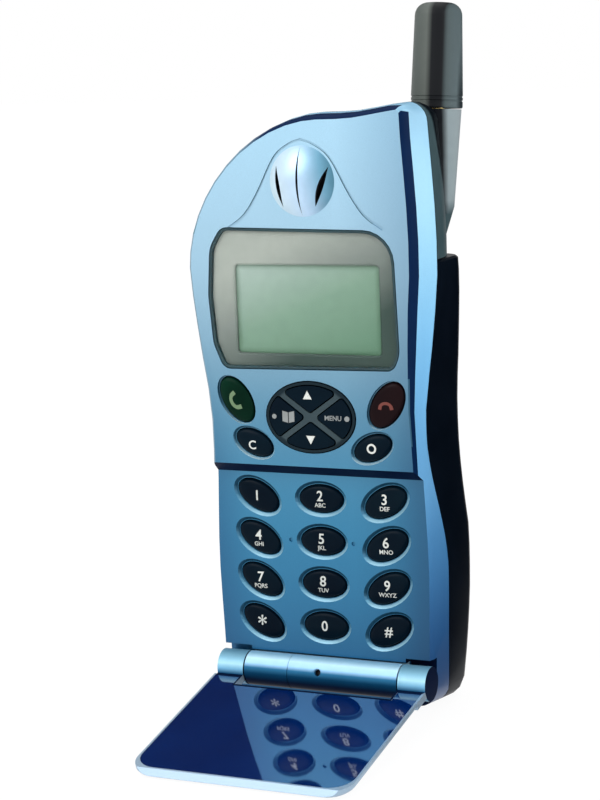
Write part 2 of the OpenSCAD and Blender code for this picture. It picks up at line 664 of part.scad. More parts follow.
latch_floor_z = 84.6;
latch_y = 12.2;
latch_w = 6.8;
tongue_w = 3;
module battery_case() color("#14171b") difference() {
    loft(concat(
        [for (z = pack_z) lifted(pack_ring(z, round_in(z), 0.5), z)],
        [[for (p = pack_ring(battery_top_z, 0.4, 0.5)) [p[0], p[1], battery_top_z]]]));
    // Side walls start at the parting line of the front shell
    x_prism(concat([for (z = [-3 : 2 : 63]) [part_y(z) + seam, z]],
        [[part_top_y + seam, above], [-9, above], [-9, -3]]), -through, through);
    // Bed for the rear shell's tray, and the room for the cells
    y_block(-tray_x - 0.3, tray_x + 0.3, -1, tray_y[1] + 1.6, bottom_z(part_low_y) + wall, battery_top_z + 1);
    intersection() {
        loft(concat([for (z = concat([2], [for (z = [9 : 8.8 : 79.4]) z], [battery_top_z - wall]))
            [for (p = pack_ring(z, 1.4, 8)) [p[0], p[1], z]]]));
        difference() {
            y_block(-tray_x + 1, tray_x - 1, tray_y[1] + 1, 30, 2, 100);
            y_block(-8.6, 8.6, 0, 31, latch_floor_z - 1.2, 101);
        }
    }
    // Room for the latch and its tongue
    y_block(-latch_w - 0.5, latch_w + 0.5, tray_y[1] + 1, 30, latch_floor_z, 89.6);
    y_block(-tongue_w - 0.3, tongue_w + 0.3, tray_y[1] + 1, latch_y + 2.8, latch_floor_z, 95);
}

module battery_cover() color("#20242a") difference() {
    low_z = bottom_z(part_low_y) + wall + 0.2;
    y_prism(rounded(box_pts(-tray_x, tray_x, low_z, battery_top_z - 0.1), [1, 1, 1, 1], 3),
        tray_y[1] + 0.5, tray_y[1] + 1.6);
    for (x = contact_x) y_block(x - 1.1, x + 1.1, 0, 30, 14.6, 18.6);
}
module battery_terminals() color("#d8b65a")
    for (x = contact_x) y_block(x - 1.05, x + 1.05, tray_y[1] + 0.6, tray_y[1] + 1.3, 14.7, 18.5);

module battery_cell() color("#9aa3a8") {
    deep = cell_y[1] - cell_y[0];
    translate([0, cell_y[0] + deep / 2, cell_z[0]]) linear_extrude(cell_z[1] - cell_z[0]) polygon(
        rounded(box_pts(-cell_x, cell_x, -deep / 2, deep / 2), [3, 3, 3, 3]));
    y_block(-4, 4, cell_y[0] + 2, cell_y[1] - 2, cell_z[1] - eps, cell_z[1] + 0.8);
}

module battery_latch() color("#1b1f24") {
    intersection() {
        y_block(-latch_w, latch_w, latch_y + 0.3, 30, 86.6, 89.3);
        loft([for (z = [80, 86, 89, battery_top_z]) [for (p = pack_ring(z, -0.5, 8)) [p[0], p[1], z]]]);
    }
    y_block(-tongue_w, tongue_w, latch_y, latch_y + 2.4, 86.8, dome_low_z + 0.8);
}
module latch_spring() color("#9aa0a4") for (x = [-4.8, 4.8])
    translate([x, latch_y + 1.6, latch_floor_z + 0.05]) coil(0.75, 0.15, 3, 0.52, 12);

// ---- Hinge and microphone --------------------------------------------------

module hinge_barrel() color("#7fb2d6") difference() {
    union() {
        x_rod(hinge_y, hinge_z, barrel_r, cap_end_x, barrel_x[1]);
        y_block(cap_end_x, barrel_x[1], hinge_y, low_wall_y, hinge_z - 2.2, hinge_z + barrel_r - 0.3);
    }
    x_rod(hinge_y, hinge_z, boot_r, mic_x - boot_l - 1, mic_x + boot_l + 1);
    x_rod(hinge_y, hinge_z, pin_r, -9, 30);
    mic_hole(9);
    mic_axis() translate([0, 0, barrel_r - 0.2]) cylinder(r1 = mic_hole_r, r2 = 2.1, h = 1);
}
// Sound hole of the microphone, turned up towards the mouth
module mic_axis() translate([mic_x, hinge_y, hinge_z]) rotate([90 - mic_up, 0, 0]) children();
module mic_hole(length) mic_axis() cylinder(r = mic_hole_r, h = length);

module hinge_cap() color("#7fb2d6") difference() {
    union() {
        x_rod(hinge_y, hinge_z, barrel_r, barrel_x[0], cap_end_x - 0.12);
        y_block(barrel_x[0], cap_end_x - 0.12, hinge_y, low_wall_y, hinge_z - 2.2, hinge_z + barrel_r - 0.3);
    }
    x_rod(hinge_y, hinge_z, pin_r, -20, 0);
    x_rod(hinge_y, hinge_z, 2.6, -14.4, -9);
}
module hinge_spring() color("#a9adb0") difference() {
    x_rod(hinge_y, hinge_z, 2.5, -14.3, -9.1);
    x_rod(hinge_y, hinge_z, pin_r, -20, 0);
    for (i = [0 : 3]) translate([-13.6 + i * 1.3, hinge_y, hinge_z]) rotate([0, 90, 0]) difference() {
        cylinder(r = 3, h = 0.5);
        cylinder(r = 1.9, h = 0.5);
    }
}
module hinge_pins() color("#c0c4c7") {
    x_rod(hinge_y, hinge_z, pin_r, -pin_end_x, mic_x - boot_l - 0.6);
    x_rod(hinge_y, hinge_z, pin_r, mic_x + boot_l + 0.6, pin_end_x);
}
module microphone() color("#b9bcbe") x_rod(hinge_y, hinge_z, mic_r, mic_x - 2, mic_x + 2);
module microphone_boot() color("#1c1d1f") difference() {
    x_rod(hinge_y, hinge_z, boot_r, mic_x - boot_l, mic_x + boot_l);
    x_rod(hinge_y, hinge_z, mic_r, mic_x - 2, mic_x + 2);
    mic_hole(9);
}

// ---- Flip ------------------------------------------------------------------

// The flip is drawn closed, over the keypad, and opened about the hinge axis
module opened()
    translate([0, hinge_y, hinge_z]) rotate([flip_open, 0, 0]) translate([0, -hinge_y, -hinge_z]) children();
flip_in_y = hinge_y;
flip_out_y = flip_in_y - flip_t;
flip_end_z = hinge_z + flip_len;
flip_slant = (step_top_z - step_low_z) / face_step;
flip_corner = 5;
flip_root_z = hinge_z + barrel_r + 0.3;
// Top of the bay in the flip that clears the barrel
bay_z = hinge_z + 7.3;
// The flip narrows a little towards its free edge
flip_taper = 0.006;
function flip_edge(z) = flip_w / 2 - flip_taper * z;
flip_long_z = flip_end_z + flip_t * flip_slant;
function flip_pts(d, end_z, low_z) = let (w = flip_edge(end_z) - d, r = flip_corner - d) concat(
    [[-flip_edge(low_z) + d, low_z], [flip_edge(low_z) - d, low_z]],
    arc([w - r, end_z - d - r], r, 0, 90, 8), arc([-w + r, end_z - d - r], r, 90, 180, 8));
// Chamfered outer edge of the flip, as [depth, inset]
flip_edge_steps = [[flip_out_y, 0.7], [flip_out_y + 0.25, 0.35], [flip_out_y + 0.75, 0], [flip_in_y, 0]];
panel_rim = 0.45;
panel_t = 0.6;

module knuckle(span) {
    x_rod(hinge_y, hinge_z, barrel_r, span[0], span[1]);
    y_block(span[0], span[1], flip_out_y, flip_in_y, hinge_z, bay_z + 0.5);
}
module bay() y_block(knuckle_l[1], knuckle_r[0], -20, 20, -20, bay_z);
module flip_shell() color("#7fb2d6") opened() difference() {
    union() {
        difference() {
            intersection() {
                loft([for (s = flip_edge_steps)
                    [for (p = flip_pts(s[1], flip_long_z, flip_root_z)) [p[0], s[0], p[1]]]]);
                // The free edge slants like the step in the face
                x_prism([[flip_in_y, flip_end_z], [flip_in_y, 0], [flip_out_y, 0],
                    [flip_out_y, flip_long_z]], -through, through);
            }
            bay();
        }
        knuckle(knuckle_l);
        knuckle(knuckle_r);
    }
    flip_inlay(panel_rim - 0.05, flip_in_y - panel_t, 9);
    x_rod(hinge_y, hinge_z, pin_r + fit, -pin_end_x - 0.2, pin_end_x + 0.2);
}
// Area of the glossy panel, with its own bay between the knuckles
module flip_inlay(d, y0, y1) difference() {
    y_prism(flip_pts(d, flip_end_z, flip_root_z + 0.6), y0, y1);
    translate([0, 0, d]) bay();
    for (x = [knuckle_l[1], knuckle_r[0]]) y_block(x - d, x + d, -20, 20, 0, bay_z + d);
}
module flip_panel() color("#0f3a70") opened()
    flip_inlay(panel_rim, flip_in_y - panel_t + 0.02, flip_in_y - 0.06);

// ---- Stance ----------------------------------------------------------------

// Lowest corner of the open flip, in the handset's frame
tip_reach = flip_long_z - hinge_z;
tip_drop = flip_out_y - hinge_y;
tip_y = hinge_y - tip_reach * sin(flip_open) + tip_drop * cos(flip_open);
tip_z = hinge_z + tip_reach * cos(flip_open) + tip_drop * sin(flip_open);
lean = atan2(0 - tip_z, foot_y - tip_y);

// Foremost and rearmost points of the leaning handset: the flip's edge and the antenna
function leant_y(y, z) = y * cos(lean) + z * sin(lean);
antenna_tilt = antenna_back + lean;
shoulder_z = antenna_foot[2] + (sheath_l - 2.6) * cos(antenna_back);
shoulder_y = antenna_foot[1] + (sheath_l - 2.6) * sin(antenna_back);
rear_most = leant_y(shoulder_y, shoulder_z) + (sheath_r - 3) * cos(antenna_tilt) + 2.55;
centre_y = (leant_y(tip_y, tip_z) + rear_most) / 2;

// The handset leans back until the flip's free edge and the battery's edge touch the table
module stand() translate([0, -centre_y, foot_y * sin(lean)]) rotate([-lean, 0, 0]) children();

stand() front_shell();
stand() window_lens();
stand() window_mask();
stand() lcd_glass();
stand() light_guide();
stand() lcd_frame();
stand() earpiece_grille();
stand() earpiece_speaker();
stand() nav_bezel();
stand() keypad_mat();
stand() dome_sheet();
stand() main_board();
stand() shield_cans();
stand() sim_holder();
stand() sim_card();
stand() buzzer();
stand() vibrator_motor();
stand() vibrator_weight();
stand() system_connector();
stand() battery_contacts();
stand() case_screws();
stand() rear_shell();
stand() antenna_sheath();
stand() antenna_coil();
stand() antenna_core();
stand() antenna_ferrule();
stand() battery_case();
stand() battery_cover();
stand() battery_terminals();
stand() battery_cell();
stand() battery_latch();
stand() latch_spring();
stand() hinge_barrel();
stand() hinge_cap();
stand() hinge_spring();
stand() hinge_pins();
stand() microphone();
stand() microphone_boot();
stand() flip_shell();
stand() flip_panel();
stand() black_key(number_keys[0]);  // key_1
stand() black_key(number_keys[1]);  // key_2
stand() black_key(number_keys[2]);  // key_3
stand() black_key(number_keys[3]);  // key_4
stand() black_key(number_keys[4]);  // key_5
stand() black_key(number_keys[5]);  // key_6
stand() black_key(number_keys[6]);  // key_7
stand() black_key(number_keys[7]);  // key_8
stand() black_key(number_keys[8]);  // key_9
stand() black_key(number_keys[9]);  // key_star
stand() black_key(number_keys[10]);  // key_0
stand() black_key(number_keys[11]);  // key_hash
stand() green_key(send_key);  // key_send
stand() red_key(end_key);  // key_end
stand() black_key(clear_key);  // key_clear
stand() black_key(power_key);  // key_power
stand() nav_key(0);  // nav_right
stand() nav_key(1);  // nav_up
stand() nav_key(2);  // nav_left
stand() nav_key(3);  // nav_down
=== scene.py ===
import json
import math

import bpy
from mathutils import Matrix, Vector


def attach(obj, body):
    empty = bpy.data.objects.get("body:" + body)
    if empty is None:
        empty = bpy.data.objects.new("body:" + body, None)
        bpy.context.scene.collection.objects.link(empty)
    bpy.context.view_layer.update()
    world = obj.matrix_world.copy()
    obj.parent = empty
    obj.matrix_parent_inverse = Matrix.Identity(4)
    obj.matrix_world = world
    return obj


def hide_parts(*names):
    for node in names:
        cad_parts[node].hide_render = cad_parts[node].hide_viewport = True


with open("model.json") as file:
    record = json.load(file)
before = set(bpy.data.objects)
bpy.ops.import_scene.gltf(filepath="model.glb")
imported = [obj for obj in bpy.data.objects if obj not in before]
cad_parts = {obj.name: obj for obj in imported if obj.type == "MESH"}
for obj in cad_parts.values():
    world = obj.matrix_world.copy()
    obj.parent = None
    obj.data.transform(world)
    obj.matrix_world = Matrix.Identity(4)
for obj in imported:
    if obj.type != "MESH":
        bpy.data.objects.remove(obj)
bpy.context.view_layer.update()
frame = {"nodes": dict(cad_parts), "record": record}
bpy.ops.object.select_all(action="DESELECT")

# The handset leans back on the table. Pieces are modelled upright, in millimetres, in the
# handset's own frame (Y = 0 on the keypad deck, Z = 0 at the battery's edge), then set down
# on the table by STAND, which comes from the way the battery slides and the hinge's place.
behaviour = frame["record"]["behaviour"]
joints = {joint["name"]: joint for joint in behaviour["joints"]}
body_of = {node: body for body, nodes in behaviour["bodies"].items() for node in nodes}
HINGE_Y, HINGE_Z = -1.2, 7.5
MM_PER_M = 1000
slide_way = Vector(joints["battery_release"]["axis"])
LEAN = math.atan2(-slide_way.z, slide_way.y)
TILTED = Matrix.Rotation(-LEAN, 4, "X") @ Matrix.Scale(1 / MM_PER_M, 4)
hinge_shift = Vector(joints["flip_hinge"]["pos_m"]) - TILTED @ Vector((0, HINGE_Y, HINGE_Z))
STAND = Matrix.Translation(hinge_shift) @ TILTED

FACE_Y = -2.8
ACROSS, UPWARD = (1, 0, 0), (0, 0, 1)


# ---- Ways of painting ----

BLACK, WHITE = (0, 0, 0), (1, 1, 1)
# Noise, in bumps per metre
DRIFT, GRAIN, SKIN, FLAKES, FLAKE_SKIN = 60, 500, 6000, 9000, 12000
# Depth of the bumps, in metres
SKIN_DEPTH, FLAKE_DEPTH = 0.00005, 0.00003
PAINT_ROUGH, FLAKE_BUMP = (0.34, 0.42), 0.03
# Height over which the blue paint's painted light and shade change, in metres
PAINTED_LIGHT_HEIGHT = 0.124


def new_material(name):
    """An empty material whose shader is joined to its output."""
    material = bpy.data.materials.new(name)
    material.use_nodes = True
    tree = material.node_tree
    tree.nodes.clear()
    out = tree.nodes.new("ShaderNodeOutputMaterial")
    shader = tree.nodes.new("ShaderNodeBsdfPrincipled")
    tree.links.new(shader.outputs[0], out.inputs[0])
    return material, tree, shader


def set_values(node, values):
    """Plain values of a node's sockets, by the sockets' names."""
    for socket, value in values.items():
        node.inputs[socket].default_value = value


def object_noise(tree, scale, detail=4.0, roughness=0.55):
    """Noise on the object's own coordinates; scale counts bumps per metre."""
    where = tree.nodes.new("ShaderNodeTexCoord")
    noise = tree.nodes.new("ShaderNodeTexNoise")
    set_values(noise, {"Scale": scale, "Detail": detail, "Roughness": roughness})
    tree.links.new(where.outputs["Object"], noise.inputs["Vector"])
    return noise


def colour_ramp(tree, value, stops, blend="LINEAR"):
    """Colour that follows a socket through stops of a place and a colour."""
    ramp = tree.nodes.new("ShaderNodeValToRGB")
    ramp.color_ramp.interpolation = blend
    elements = ramp.color_ramp.elements
    while len(elements) < len(stops):
        elements.new(0.5)
    for element, (place, colour) in zip(elements, stops):
        element.position = place
        element.color = (*colour, 1)
    tree.links.new(value, ramp.inputs["Fac"])
    return ramp.outputs["Color"]


def ramp_between(tree, value, low, high, stops, blend="LINEAR"):
    """Colour stops spread between two values of a socket."""
    spread = tree.nodes.new("ShaderNodeMapRange")
    set_values(spread, {"From Min": low, "From Max": high})
    tree.links.new(value, spread.inputs["Value"])
    return colour_ramp(tree, spread.outputs["Result"], stops, blend)


def tone(tree, noise, dark, light):
    """Colour that drifts between dark and light with the noise."""
    return colour_ramp(tree, noise.outputs["Fac"], [(0.35, dark), (0.65, light)])


def math_node(tree, operation, first, second=0):
    """One step of arithmetic on sockets or plain numbers."""
    node = tree.nodes.new("ShaderNodeMath")
    node.operation = operation
    for socket, value in zip(node.inputs, (first, second)):
        if isinstance(value, (int, float)):
            socket.default_value = value
        else:
            tree.links.new(value, socket)
    return node.outputs[0]


def handset_mm(tree, local_way):
    """A point's place along a direction in the handset's own frame, in millimetres."""
    where = tree.nodes.new("ShaderNodeTexCoord")
    along = tree.nodes.new("ShaderNodeVectorMath")
    along.operation = "DOT_PRODUCT"
    way = STAND.to_3x3() @ Vector(local_way) * MM_PER_M
    along.inputs[1].default_value = way * MM_PER_M
    tree.links.new(where.outputs["Object"], along.inputs[0])
    start = STAND.translation.dot(way) * MM_PER_M
    return math_node(tree, "SUBTRACT", along.outputs["Value"], start)


def multiplied(tree, first, second):
    """Two colours multiplied."""
    mix = tree.nodes.new("ShaderNodeMix")
    mix.data_type = "RGBA"
    mix.blend_type = "MULTIPLY"
    mix.inputs["Factor"].default_value = 1.0
    tree.links.new(first, mix.inputs["A"])
    tree.links.new(second, mix.inputs["B"])
    return mix.outputs["Result"]


def rough_range(tree, noise, shader, low, high):
    """Roughness that drifts with the noise."""
    spread = tree.nodes.new("ShaderNodeMapRange")
    set_values(spread, {"To Min": low, "To Max": high})
    tree.links.new(noise.outputs["Fac"], spread.inputs["Value"])
    tree.links.new(spread.outputs["Result"], shader.inputs["Roughness"])


def fine_bump(tree, shader, scale, strength, distance):
    """A skin of very fine bumps."""
    grain = object_noise(tree, scale)
    bump = tree.nodes.new("ShaderNodeBump")
    set_values(bump, {"Strength": strength, "Distance": distance})
    tree.links.new(grain.outputs["Fac"], bump.inputs["Height"])
    tree.links.new(bump.outputs["Normal"], shader.inputs["Normal"])


def moulded(name, dark, light, rough, metallic=0.0, specular=0.5, bump=0.05):
    """Moulded or painted plastic, or metal: a slow drift of tone and a fine skin."""
    material, tree, shader = new_material(name)
    noise = object_noise(tree, DRIFT)
    tree.links.new(tone(tree, noise, dark, light), shader.inputs["Base Color"])
    rough_range(tree, noise, shader, *rough)
    set_values(shader, {"Metallic": metallic, "Specular IOR Level": specular})
    fine_bump(tree, shader, SKIN, bump, SKIN_DEPTH)
    return material


# Where the painted shade on the front's sides starts and ends; above the deck it draws back a little
SIDE_SHADE_X, RIGHT_SHADE_X = (15.5, 23), (7, 21)
DECK_TOP_Z, DRAW_BACK = 50, 0.3


def painted_side_shade(tree, colour):
    """Painted shade: the keypad deck is darker towards both its sides, and the front towards its right."""
    across = handset_mm(tree, ACROSS)
    aside = math_node(tree, "ABSOLUTE", across)
    over_deck = math_node(tree, "SUBTRACT", handset_mm(tree, UPWARD), DECK_TOP_Z)
    over_deck = math_node(tree, "MAXIMUM", over_deck, 0)
    drawn_back = math_node(tree, "MULTIPLY", over_deck, DRAW_BACK)
    out = math_node(tree, "SUBTRACT", aside, drawn_back)
    sides = ramp_between(tree, out, *SIDE_SHADE_X, [(0.0, WHITE), (1.0, (0.6, 0.68, 0.76))])
    right = ramp_between(tree, across, *RIGHT_SHADE_X, [(0.0, WHITE), (1.0, (0.66, 0.71, 0.75))])
    return multiplied(tree, multiplied(tree, colour, sides), right)


def flake_paint(name, stops, metallic=0.55, coat=0.2, edges=False):
    """Metallic paint with fine flakes; its tone follows the height above the table, as painted light and
    shade.
    """
    material, tree, shader = new_material(name)
    where = tree.nodes.new("ShaderNodeTexCoord")
    split = tree.nodes.new("ShaderNodeSeparateXYZ")
    tree.links.new(where.outputs["Object"], split.inputs[0])
    # Painted light and shade: the tone follows the height above the table
    height_light_tone = ramp_between(tree, split.outputs["Z"], 0.0, PAINTED_LIGHT_HEIGHT, stops, "B_SPLINE")
    flakes = object_noise(tree, FLAKES, 2.0, 0.7)
    sparkle = tree.nodes.new("ShaderNodeMapRange")
    set_values(sparkle, {"From Min": 0.3, "From Max": 0.7, "To Min": 0.93, "To Max": 1.07})
    tree.links.new(flakes.outputs["Fac"], sparkle.inputs["Value"])
    colour = multiplied(tree, height_light_tone, sparkle.outputs["Result"])
    # With edges, the front gets painted shade towards its sides
    if edges:
        colour = painted_side_shade(tree, colour)
    tree.links.new(colour, shader.inputs["Base Color"])
    rough_range(tree, flakes, shader, *PAINT_ROUGH)
    set_values(shader, {"Metallic": metallic, "Coat Weight": coat, "Coat Roughness": 0.12})
    fine_bump(tree, shader, FLAKE_SKIN, FLAKE_BUMP, FLAKE_DEPTH)
    return material


def slanted(name, way, stops, low, high, rim=None, rough=(0.35, 0.45), specular=0.2, metallic=0.0):
    """Painted light and shade that change along a direction; rim adds painted shade towards the edge of a
    box.
    """
    material, tree, shader = new_material(name)
    colour = ramp_between(tree, handset_mm(tree, way), low, high, stops)
    noise = object_noise(tree, GRAIN)
    grain = tone(tree, noise, (0.95, 0.95, 0.95), WHITE)
    colour = multiplied(tree, colour, grain)
    if rim:
        centre, half_size, reach, dark = rim
        past_edge = []
        for along, middle, half in zip((ACROSS, UPWARD), centre, half_size):
            place = handset_mm(tree, along)
            off = math_node(tree, "SUBTRACT", place, middle)
            off = math_node(tree, "ABSOLUTE", off)
            past_edge.append(math_node(tree, "SUBTRACT", off, half))
        edge = math_node(tree, "MAXIMUM", *past_edge)
        rim_shade_stops = [(0.0, WHITE), (0.5, (0.96, 0.96, 0.96)), (1.0, dark)]
        colour = multiplied(tree, colour, ramp_between(tree, edge, -reach, 0.0, rim_shade_stops))
    tree.links.new(colour, shader.inputs["Base Color"])
    rough_range(tree, noise, shader, *rough)
    set_values(shader, {"Specular IOR Level": specular, "Metallic": metallic})
    return material


# The hollow beside the antenna's column: ways into it, and where its painted black shade starts and is full
HOLLOW_EDGES = [((0, 1, 0.35), 44.3, 45.4), (ACROSS, 17.5, 20.5), (UPWARD, 100, 105)]
HOLLOW_SHADE_BLACK = (0.001, 0.003, 0.006)


def shoulder_paint():
    """Grey paint of the back; the hollow beside the antenna's column gets painted black shade."""
    material, tree, shader = new_material("rear_grey_paint")
    noise = object_noise(tree, DRIFT)
    grey = tone(tree, noise, (0.035, 0.065, 0.075), (0.05, 0.085, 0.095))
    rising = [(0.0, BLACK), (1.0, WHITE)]
    behind, beside, above = [ramp_between(tree, handset_mm(tree, way), start, full, rising)
                             for way, start, full in HOLLOW_EDGES]
    hollow_shade = multiplied(tree, multiplied(tree, behind, beside), above)
    mix = tree.nodes.new("ShaderNodeMix")
    mix.data_type = "RGBA"
    mix.inputs["B"].default_value = (*HOLLOW_SHADE_BLACK, 1)
    tree.links.new(hollow_shade, mix.inputs["Factor"])
    tree.links.new(grey, mix.inputs["A"])
    tree.links.new(mix.outputs["Result"], shader.inputs["Base Color"])
    rough_range(tree, noise, shader, 0.36, 0.46)
    shader.inputs["Specular IOR Level"].default_value = 0.05
    fine_bump(tree, shader, SKIN, 0.05, SKIN_DEPTH)
    return material


# The disc is NAV_STRETCH times as wide as it is high, and its rim starts and is full here
NAV_Z, NAV_STRETCH, NAV_RIM = 60.2, 1.33, (8.2, 8.8)


def disc_paint():
    """Dark grey of the navigation disc's cross; its oval rim is nearly black."""
    material, tree, shader = new_material("nav_grey_paint")
    noise = object_noise(tree, DRIFT)
    cross = tone(tree, noise, (0.03, 0.05, 0.06), (0.045, 0.07, 0.08))
    across = handset_mm(tree, ACROSS)
    height = handset_mm(tree, (0, 0, NAV_STRETCH))
    height = math_node(tree, "SUBTRACT", height, NAV_Z * NAV_STRETCH)
    squares = [math_node(tree, "MULTIPLY", way, way) for way in (across, height)]
    reach = math_node(tree, "SQRT", math_node(tree, "ADD", *squares))
    rim = ramp_between(tree, reach, *NAV_RIM, [(0.0, WHITE), (1.0, (0.2, 0.3, 0.36))])
    tree.links.new(multiplied(tree, cross, rim), shader.inputs["Base Color"])
    rough_range(tree, noise, shader, 0.3, 0.38)
    shader.inputs["Specular IOR Level"].default_value = 0.1
    fine_bump(tree, shader, SKIN, 0.05, SKIN_DEPTH)
    return material


# The way the dishes' light comes from, and how far towards it a slope is dark and pale
DISH_LIGHT, DISH_DARK, DISH_PALE = (-0.45, 0, 0.85), -0.35, 0.5


def dish_paint(name, stops):
    """Painted light of the dishes round the keys: a painted highlight where they look up and left, painted
    shade where they look down.
    """
    material, tree, shader = new_material(name)
    where = tree.nodes.new("ShaderNodeTexCoord")
    lit = tree.nodes.new("ShaderNodeVectorMath")
    lit.operation = "DOT_PRODUCT"
    lit.inputs[1].default_value = (STAND.to_3x3() @ Vector(DISH_LIGHT)).normalized()
    tree.links.new(where.outputs["Normal"], lit.inputs[0])
    colour = ramp_between(tree, lit.outputs["Value"], DISH_DARK, DISH_PALE, stops)
    flakes = object_noise(tree, FLAKES, 2.0, 0.7)
    sparkle = tone(tree, flakes, (0.9, 0.9, 0.9), WHITE)
    tree.links.new(multiplied(tree, colour, sparkle), shader.inputs["Base Color"])
    rough_range(tree, flakes, shader, *PAINT_ROUGH)
    shader.inputs["Metallic"].default_value = 0.4
    fine_bump(tree, shader, FLAKE_SKIN, FLAKE_BUMP, FLAKE_DEPTH)
    return material


def mirror_navy():
    """Deep blue mirror of the flip's inside."""
    material, tree, shader = new_material("flip_navy_gloss")
    noise = object_noise(tree, DRIFT)
    navy = tone(tree, noise, (0.0, 0.012, 0.09), (0.0, 0.016, 0.11))
    tree.links.new(navy, shader.inputs["Base Color"])
    rough_range(tree, noise, shader, 0.03, 0.05)
    shader.inputs["IOR"].default_value = 3.0
    return material


def clear_lens():
    """Clear plastic of the window."""
    material, tree, shader = new_material("clear_acrylic")
    noise = object_noise(tree, 200, 3.0)
    rough_range(tree, noise, shader, 0.03, 0.06)
    set_values(shader, {"Base Color": (0.95, 0.98, 0.97, 1), "Transmission Weight": 1.0, "IOR": 1.1})
    return material


def paint(piece, *finishes):
    """The piece's finishes, in place of those it has."""
    piece.data.materials.clear()
    for finish in finishes:
        piece.data.materials.append(finish)


def paint_faces(piece, finishes, choose):
    """Each face takes the finish that choose gives it."""
    paint(piece, *finishes)
    for face in piece.data.polygons:
        face.material_index = finishes.index(choose(face))


# ---- Finishes ----

# Painted light and shade of the front and of its side bands, from the table up: darker low down, lighter
# higher up, and a painted highlight along the side bands
BLUE_LIT_STOPS = [(0.0, (0.008, 0.09, 0.23)), (0.28, (0.025, 0.21, 0.38)), (0.42, (0.05, 0.22, 0.37)),
              (0.55, (0.12, 0.28, 0.4)), (0.72, (0.34, 0.53, 0.67)), (1.0, (0.38, 0.64, 0.82))]
SIDE_LIT_STOPS = [(0.0, (0.0, 0.03, 0.12)), (0.16, (0.012, 0.09, 0.26)), (0.3, (0.055, 0.24, 0.5)),
              (0.39, (0.13, 0.37, 0.66)), (0.61, (0.15, 0.47, 0.8)), (0.8, (0.33, 0.62, 0.78)),
              (0.92, (0.29, 0.57, 0.78)), (1.0, (0.18, 0.36, 0.5))]
SILVER = (0.34, 0.46, 0.58)
face_blue = flake_paint("face_blue_paint", BLUE_LIT_STOPS, edges=True)
side_blue = flake_paint("side_band_paint", SIDE_LIT_STOPS, metallic=0.1, coat=0.05)
flip_silver = flake_paint("flip_silver_blue", [(0.0, SILVER), (1.0, SILVER)], coat=0.0)
flip_navy = mirror_navy()
# Painted dark reflection on the slope of the right edge
navy_reflection = moulded("edge_painted_dark_reflection", (0.0, 0.010, 0.045), (0.0, 0.014, 0.06), (0.3, 0.38),
                    specular=0.06)
# Painted shade on the step, under the deck, at the knuckles' ends and in the flip's bay
navy_shade = moulded("painted_shade_navy", (0.0, 0.004, 0.022), (0.001, 0.008, 0.035), (0.45, 0.55),
                    specular=0.05)
groove_teal = moulded("groove_shadow_paint", (0.03, 0.12, 0.17), (0.05, 0.17, 0.22), (0.4, 0.5))
edge_grey = moulded("edge_grey_blue_paint", (0.14, 0.24, 0.32), (0.2, 0.31, 0.4), (0.3, 0.4),
                    metallic=0.3)
# Painted dark reflection along the top edge, fading to grey-blue towards the left
top_line = slanted("top_line_painted_reflection", ACROSS,
                   [(0.0, (0.17, 0.28, 0.36)), (0.3, (0.14, 0.24, 0.32)), (0.6, (0.0, 0.016, 0.07)),
                    (1.0, (0.0, 0.012, 0.055))], -18, -2, specular=0.06)

# Painted light of the dishes round the keys, from the painted shade of slopes that look down to the painted
# highlight of those that look up
deck_dish_blue = dish_paint("deck_dish_painted_light", [(0.0, (0.01, 0.08, 0.15)), (0.4, (0.03, 0.16, 0.28)),
                                                (0.62, (0.12, 0.34, 0.5)), (1.0, (0.3, 0.58, 0.74))])
face_dish_blue = dish_paint("face_dish_painted_light", [(0.0, (0.03, 0.12, 0.2)), (0.4, (0.08, 0.22, 0.34)),
                                                (0.62, (0.24, 0.46, 0.6)), (1.0, (0.46, 0.7, 0.82))])

# Window, with painted light and shade going darker down from the upper left and a painted inner shadow round
# the display, and earpiece, with painted light and shade going darker to the right
window_clear = clear_lens()
# Painted shade of the window's recess
recess_shade = moulded("window_recess_painted_shade", (0.005, 0.03, 0.04), (0.012, 0.05, 0.06), (0.3, 0.4))
# Painted light and shade on the printed border, darker towards the lower right
border_grey = slanted("window_border_grey", (0.5, 0, -1),
                      [(0.0, (0.42, 0.45, 0.41)), (0.45, (0.24, 0.27, 0.25)),
                       (1.0, (0.045, 0.075, 0.065))], -97, -73)
# Painted light on the display, and a painted inner shadow round its edge
lcd_green = slanted("lcd_green_glass", (0.4, 0, -1),
                    [(0.0, (0.45, 0.55, 0.5)), (0.5, (0.24, 0.37, 0.28)), (1.0, (0.15, 0.28, 0.19))],
                    -95, -69, rim=((-0.4, 81.4), (15.6, 8.8), 2.4, (0.6, 0.66, 0.6)))
# Painted light on the earpiece dome: pale at the left, painted shade to the right
dome_blue = slanted("dome_blue_painted_light", (1, 0, 0.2),
                    [(0.0, (0.62, 0.76, 0.82)), (0.5, (0.5, 0.68, 0.88)), (0.85, (0.16, 0.36, 0.5)),
                     (1.0, (0.07, 0.2, 0.28))], 14.5, 28.2, rough=(0.3, 0.4), metallic=0.4)

